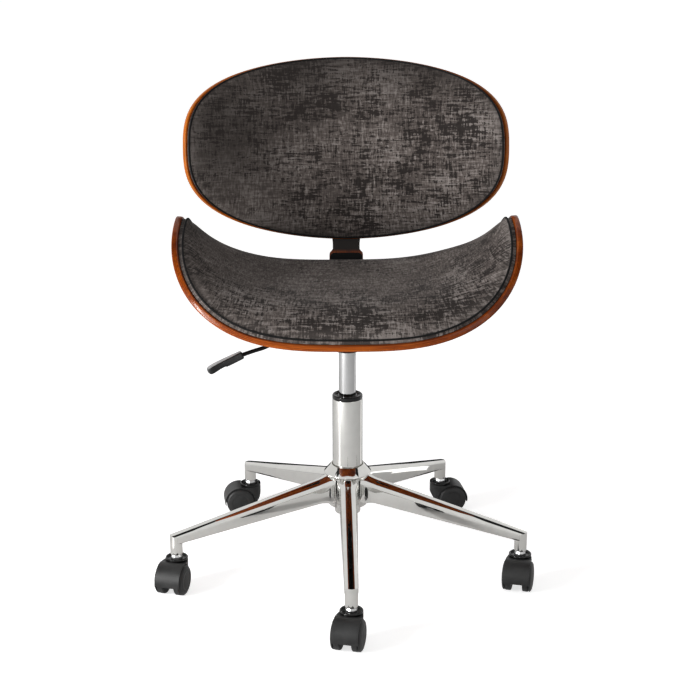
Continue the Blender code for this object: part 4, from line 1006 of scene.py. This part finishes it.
def makeLift():
    look = liftLook
    hubTop = nodeTop("base_hub")
    wide, wall = look["tubeRadius"], look["tubeWall"]
    tubeTop, tubeBottom = nodeTop("lift_outer_tube"), nodeBottom("lift_outer_tube")
    foot = look["bottomRadius"]
    profile = [(foot - wall, tubeBottom), (foot, tubeBottom), (wide, hubTop), (wide, tubeTop),
               (wide - wall, tubeTop), (wide - wall, hubTop)]
    turnedPiece("lift_column", profile, 0.0007, "chrome", "base", "lift_outer_tube", (2,))
    inner, eased, dish = look["innerRadius"], look["ringEase"], look["ringDish"]
    ringTop, ringBottom = nodeTop("lift_guide_bush"), tubeTop - look["ringDepth"]
    seated = wide - wall - clearance
    profile = [(inner + clearance, ringBottom), (seated, ringBottom), (seated, tubeTop + clearance),
               (wide, tubeTop + clearance), (wide, ringTop - eased), (wide - eased, ringTop),
               (wide - 0.0030, ringTop), (wide - 0.0042, ringTop - dish), (inner + 0.0035, ringTop - dish),
               (inner + 0.0020, ringTop - eased), (inner + clearance, ringTop - 0.0016)]
    turnedPiece("lift_ring", profile, 0.0005, "collar", "base", "lift_guide_bush")
    innerTop, innerBottom = nodeTop("lift_inner_tube"), nodeBottom("lift_inner_tube")
    well = look["buttonWell"]
    profile = [(look["rodBore"], innerBottom), (inner, innerBottom), (inner, innerTop - look["taperLength"]),
               (look["innerTopRadius"], innerTop), (well, innerTop), (well, innerTop - look["wellDepth"])]
    turnedPiece("lift_pressure_tube", profile, 0.0008, "tube", "seat", "lift_inner_tube",
                (2,))


makeLift()
print("gas lift done")

# Casters

casterLook = {
    "wheelRadius": 0.025,
    "innerFace": 0.0095,       # half the space between the wheels
    "treadFace": 0.0198,
    "outerFace": 0.0254,
    "groove": 0.0012,
    "grooveDepth": 0.0030,
    "axleRadius": 0.0033,
    "axleHalf": 0.0171,
    "hoodHalfWidth": 0.0210,
    "hoodGap": 0.0012,
    "hoodWall": 0.0018,
    "tailHeight": 0.0205,
    "toeHeight": 0.0165,
    "webHalf": 0.0045,
    "collarRadius": 0.0185,
    "collarBottom": 0.0515,
    "collarHeight": 0.0055,
    "recessRadius": 0.0158,
    "recessDepth": 0.0035,
    "stemBore": 0.0043,
    "easedEdge": 0.0007,
    "toeEase": 0.0005,
    "rimEase": 0.0012,         # of the collar
}


def casterPlace(number):
    # frame of one caster: axle over the origin, stem towards +X
    swivel = Vector(frameJoints[f"caster_{number}_swivel"]["pos_m"])
    axle = Vector(frameJoints[f"caster_{number}_spin_left"]["pos_m"])
    toStem = swivel - axle
    turn = Matrix.Rotation(math.atan2(toStem.y, toStem.x), 4, "Z")
    return Matrix.Translation((axle.x, axle.y, 0)) @ turn, math.hypot(toStem.x, toStem.y)


def onAxle(sign):
    # lays an upright lathe along the axle, to the left (-1) or the right (1)
    lift = Matrix.Translation((0, 0, casterLook["wheelRadius"]))
    return lift @ Matrix.Rotation(-sign * math.pi / 2, 4, "X")


def hoodMesh(stemX):
    # fender: side outline crossed with the plan, then the wheels' wells cut out
    look = casterLook
    wheel = look["wheelRadius"]
    well = wheel + look["hoodGap"]
    outer = well + look["hoodWall"]
    half = look["hoodHalfWidth"]
    collar, collarBottom = look["collarRadius"], look["collarBottom"]
    front = stemX + collar
    neckTop = collarBottom + 0.0008
    tailAngle = 180 + math.degrees(math.asin((wheel - look["tailHeight"]) / outer))
    toeX = math.sqrt(well ** 2 - (wheel - look["toeHeight"]) ** 2)
    side = arc(0, wheel, outer, tailAngle, 84, 30)
    under = look["toeHeight"]
    neck, toe = (front - 0.0006, neckTop), (toeX + look["toeEase"], under)
    side += easedCorner(side[-1], (stemX - collar + 0.004, collarBottom), (stemX, neckTop), 0.004, 5)
    side += [neck]
    side += easedCorner(neck, (front, wheel + 0.008), toe, 0.02, 14)
    side += [toe, (0.010, under), (-0.004, under + 0.001), (-0.012, look["tailHeight"])]
    upright = Matrix(((1, 0, 0, 0), (0, 0, -1, 0), (0, 1, 0, 0), (0, 0, 0, 1)))
    hood = transformed(slab(side, -half, half), upright)
    past = half + 0.001
    plan = [(-0.04, -past), (0.004, -past)] + arc(stemX, 0, collar, -78, 78, 28)
    plan += [(0.004, past), (-0.04, past)]
    hood = carve(hood, slab(plan, -0.005, 0.075), "INTERSECT")
    web, outside = look["webHalf"], half + 0.01
    for sign in (-1, 1):
        wheelWell = lathe([(0, web), (well, web), (well, outside), (0, outside)], 64)
        hood = carve(hood, transformed(wheelWell, onAxle(sign)))
    wide, low, high = look["stemBore"], collarBottom - 0.016, collarBottom + 0.01
    bore = lathe([(0, low), (wide, low), (wide, high), (0, high)], 24, (stemX, 0, 0))
    return carve(hood, bore)


def collarMesh(stemX):
    look = casterLook
    low, high = look["collarBottom"] - 0.001, look["collarBottom"] + look["collarHeight"]
    bore, wide, recess, ease = look["stemBore"], look["collarRadius"], look["recessRadius"], look["rimEase"]
    floor = high - look["recessDepth"]
    profile = [(bore, low), (wide - ease, low), (wide - ease, low + ease), (wide, low + 0.002),
               (wide, high - ease), (wide - ease, high), (recess, high), (recess - ease, floor),
               (bore, floor)]
    return turned(profile, 0.0006, 72, (stemX, 0, 0))


def wheelMesh():
    # tread, a fine groove and a domed face; the axle's blind bore inside
    look = casterLook
    wheel, tread, face = look["wheelRadius"], look["treadFace"], look["outerFace"]
    axle, inner, groove = look["axleRadius"], look["innerFace"], wheel - look["grooveDepth"]
    profile = [(0.0, look["axleHalf"]), (axle, look["axleHalf"]), (axle, inner),
               (wheel - 0.0008, inner), (wheel, inner + 0.0008),
               (wheel, tread - look["groove"]), (groove, tread - look["groove"] + 0.0003),
               (groove, tread), (wheel - 0.0002, tread + 0.0004), (wheel - 0.0003, tread + 0.0016),
               (wheel * 0.90, face - 0.0020), (wheel * 0.70, face - 0.0008), (wheel * 0.62, face - 0.0006),
               (wheel * 0.58, face - 0.0010), (wheel * 0.36, face - 0.0004), (0.0, face)]
    return lathe(roundCorners(profile, 0.0010, 3), 72)


def makeCaster(number):
    look = casterLook
    place, stemX = casterPlace(number)
    name = f"caster_{number}"
    hood = transformed(hoodMesh(stemX), place)
    piece = finishPiece(f"{name}_fender", hood, "caster", name, (f"{name}_hood",), 30.0)
    addBevel(piece, look["easedEdge"], 3)
    collar = transformed(collarMesh(stemX), place)
    finishPiece(f"{name}_collar", collar, "collar", name, (), 50.0)
    for side, sign in (("left", -1), ("right", 1)):
        wheel = transformed(wheelMesh(), place @ onAxle(sign))
        node = f"{name}_wheel_{side}"
        finishPiece(f"{name}_disc_{side}", wheel, "caster", node, (node,), 40.0)


for casterNumber in range(1, 6):
    makeCaster(casterNumber)
print("casters done")

# Height lever

leverLook = {
    "rodRadius": 0.0033,
    # along the rod from the column's axis, with the depth below its inner end
    "route": ((0.006, 0.0, 0.0), (-0.030, 0.0, 0.0), (-0.050, 0.0, 0.0), (-0.064, -0.004, 0.002),
              (-0.090, -0.017, 0.0126), (-0.127, -0.032, 0.0331), (-0.155, -0.042, 0.0406),
              (-0.186, -0.053, 0.0486)),
    "paddleStart": (-0.1695, -0.0475, 0.0436),
    "paddleAim": (-0.055, -0.0185, -0.022),
    "paddleLength": 0.062,
    "paddleWidth": 0.0205,
    "paddleHeight": 0.0125,
    "paddleRoll": math.radians(9),
    "paddleCorner": 0.0022,
    "rubbedFrom": 0.60,        # upward share of the normal where the painted reflection on the upper face begins
    "rubbedTo": 0.85,
    # shares of the length, the width, and the height above and below the middle
    "stations": ((0.0, 0.50, 0.40, 0.40), (0.012, 0.62, 0.47, 0.47), (0.05, 0.68, 0.50, 0.50),
                 (0.30, 0.84, 0.50, 0.50), (0.50, 0.94, 0.50, 0.48), (0.56, 0.96, 0.50, 0.36),
                 (0.66, 0.99, 0.49, 0.36), (0.78, 1.0, 0.47, 0.44), (0.88, 0.98, 0.43, 0.50),
                 (0.95, 0.90, 0.36, 0.50), (0.985, 0.78, 0.24, 0.42), (1.0, 0.60, 0.10, 0.28)),
}


def makeLever():
    look = leverLook
    leverZ = nodeTop("lift_release_button") + clearance + look["rodRadius"]

    def onLever(place):
        return Vector((column.x + place[0], column.y + place[1], leverZ - place[2]))

    rod = sweptRod(smoothRoute([onLever(place) for place in look["route"]], 6), look["rodRadius"], 20)
    finishPiece("lever_rod", rod, "black", "lever", ("lever_arm",), 50.0)
    along = Vector(look["paddleAim"]).normalized()
    level = along.cross(Vector((0, 0, 1))).normalized()
    side = Matrix.Rotation(look["paddleRoll"], 3, along) @ level
    lift = side.cross(along)
    start = onLever(look["paddleStart"])
    rows = []
    for share, width, above, below in look["stations"]:
        half = look["paddleWidth"] / 2 * width
        high, low = look["paddleHeight"] * above, -look["paddleHeight"] * below
        corners = [(half, high), (half, low), (-half, low), (-half, high)]
        loop = roundLoop(corners, [look["paddleCorner"]] * 4, 5)
        centre = start + along * (look["paddleLength"] * share)
        rows.append([centre + side * u + lift * w for u, w in loop])
    bm = growRows(rows)
    # painted reflection on the paddle's upward faces
    addLayer(bm, "rubbed", [clamped(vert.normal.dot(lift), look["rubbedFrom"], look["rubbedTo"])
                            for vert in bm.verts])
    finishPiece("lever_paddle", bm, "paddle", "lever", ("lever_handle",), 50.0)


makeLever()
print("lever done")

# Pieces that keep their frame shape and get a finish
nodeFinishes = {"seat_plate": "black", "spine_bracket": "black"}
for nodeName, nodeObject in frame["nodes"].items():
    for slotted in nodeObject.material_slots:
        slotted.material = materials[nodeFinishes.get(nodeName, "steel")]


# Studio

cameraLook = {
    "distance": 2.5068,
    "height": 1.1268,
    "pitch": math.radians(16.583),
    "roll": math.radians(0.0936),
    "yaw": math.radians(0.35),         # round the chair
    "pan": math.radians(0.10),         # on the camera's own place
    "focalPixels": 1591.7,
    "framePixels": 700.0,
}


def makeCamera():
    look = cameraLook
    data = bpy.data.cameras.new("photoCamera")
    data.sensor_fit = "HORIZONTAL"
    data.sensor_width = 36.0
    data.lens = look["focalPixels"] / look["framePixels"] * data.sensor_width
    camera = addObject("photoCamera", data)
    camera.location = (column.x - look["distance"] * math.sin(look["yaw"]),
                       column.y - look["distance"] * math.cos(look["yaw"]), look["height"])
    turn = (Matrix.Rotation(-look["yaw"] - look["pan"], 4, "Z")
            @ Matrix.Rotation(math.pi / 2 - look["pitch"], 4, "X") @ Matrix.Rotation(-look["roll"], 4, "Z"))
    camera.rotation_euler = turn.to_euler()
    bpy.context.scene.camera = camera


studioLook = {
    "floorSize": 120.0,
    "floorTone": 0.80,
    "floorGlow": 0.66,         # added where the camera sees it
    "mirroredGlow": 0.12,      # added where reflections see it
    "worldLight": 0.40,
    # lamps: name, place, target, width, height, watts
    "lamps": (("keyLamp", (-2.2, -1.6, 0.95), (0, 0, 0.5), 1.0, 1.0, 38),
              ("fillLamp", (1.8, -2.2, 0.9), (0, 0, 0.5), 1.2, 1.2, 8),
              ("leftStrip", (-1.9, -1.25, 0.70), (0, 0, 0.45), 0.14, 1.5, 46)),
    # upright cards that only reflections see: degrees round the column from the front,
    # distance, width, height, tone, glow
    "cards": ((180, 0.42, 0.46, 0.20, 0.01, 0.0), (-62.7, 0.46, 0.10, 0.24, 0.8, 1.6),
              (124, 0.46, 0.07, 0.24, 0.8, 1.4)),
    # level cards over the legs' tips: place, width, depth
    "overhead": (((-0.52, -0.05, 0.95), 0.46, 0.6), ((0.52, -0.05, 0.95), 0.46, 0.6)),
}


def backgroundRays(tree, seen, mirrored):
    # one value where the camera sees the background, another in a reflection or through glass
    path = addNode(tree, "ShaderNodeLightPath")
    glossy, through = path.outputs["Is Glossy Ray"], path.outputs["Is Transmission Ray"]
    bounced = combineValues(tree, "MAXIMUM", glossy, through)
    bounced = combineValues(tree, "MULTIPLY", bounced, mirrored)
    return combineValues(tree, "MULTIPLY_ADD", path.outputs["Is Camera Ray"], seen, bounced)


def addPanel(name, place, wide, high, tone, glow):
    # glow is one strength, or a pair for what the camera and what reflections see
    bm = bmesh.new()
    bmesh.ops.create_grid(bm, x_segments=1, y_segments=1, size=1.0)
    bmesh.ops.scale(bm, vec=(wide / 2, high / 2, 1.0), verts=bm.verts)
    panel = addObject(name, meshFrom(name, transformed(bm, place)))
    material, tree, shader = newMaterial(f"{name}_paint")
    strength = backgroundRays(tree, *glow) if isinstance(glow, tuple) else glow
    setShader(tree, shader, baseColor=grey(tone), roughness=0.9, emissionColor=(1, 1, 1),
              emissionStrength=strength)
    panel.data.materials.append(material)
    return panel


def makePanels():
    look = studioLook
    size = look["floorSize"]
    addPanel("floor", Matrix.Identity(4), size, size, look["floorTone"],
             (look["floorGlow"], look["mirroredGlow"]))
    cards = []
    for number, (degrees, distance, wide, high, tone, glow) in enumerate(look["cards"], 1):
        turn = Matrix.Rotation(math.radians(degrees), 4, "Z")
        place = Matrix.Translation(column + turn @ Vector((0, -distance, high / 2)))
        upright = turn @ Matrix.Rotation(math.pi / 2, 4, "X")
        cards.append(addPanel(f"card_{number}", place @ upright, wide, high, tone, glow))
    for number, (place, wide, deep) in enumerate(look["overhead"], 1):
        cards.append(addPanel(f"overhead_{number}", Matrix.Translation(place), wide, deep, 0.01, 0.0))
    for card in cards:
        card.visible_camera = card.visible_diffuse = card.visible_shadow = False


def makeWorld():
    world = bpy.data.worlds.new("studio")
    bpy.context.scene.world = world
    world.use_nodes = True
    tree = world.node_tree
    light = studioLook["worldLight"]
    strength = combineValues(tree, "ADD", backgroundRays(tree, 1.0 - light, 1.0 - light), light)
    background = tree.nodes["Background"]
    background.inputs["Color"].default_value = (1, 1, 1, 1)
    tree.links.new(strength, background.inputs["Strength"])


def makeLamps():
    for name, place, target, width, height, power in studioLook["lamps"]:
        data = bpy.data.lights.new(name, "AREA")
        data.shape = "RECTANGLE"
        data.size = width
        data.size_y = height
        data.energy = power
        lamp = addObject(name, data)
        lamp.location = place
        lamp.rotation_euler = (Vector(target) - Vector(place)).to_track_quat("-Z", "Y").to_euler()


makeCamera()
makePanels()
makeWorld()
makeLamps()
bpy.context.scene.view_settings.view_transform = "Standard"
print("studio done")
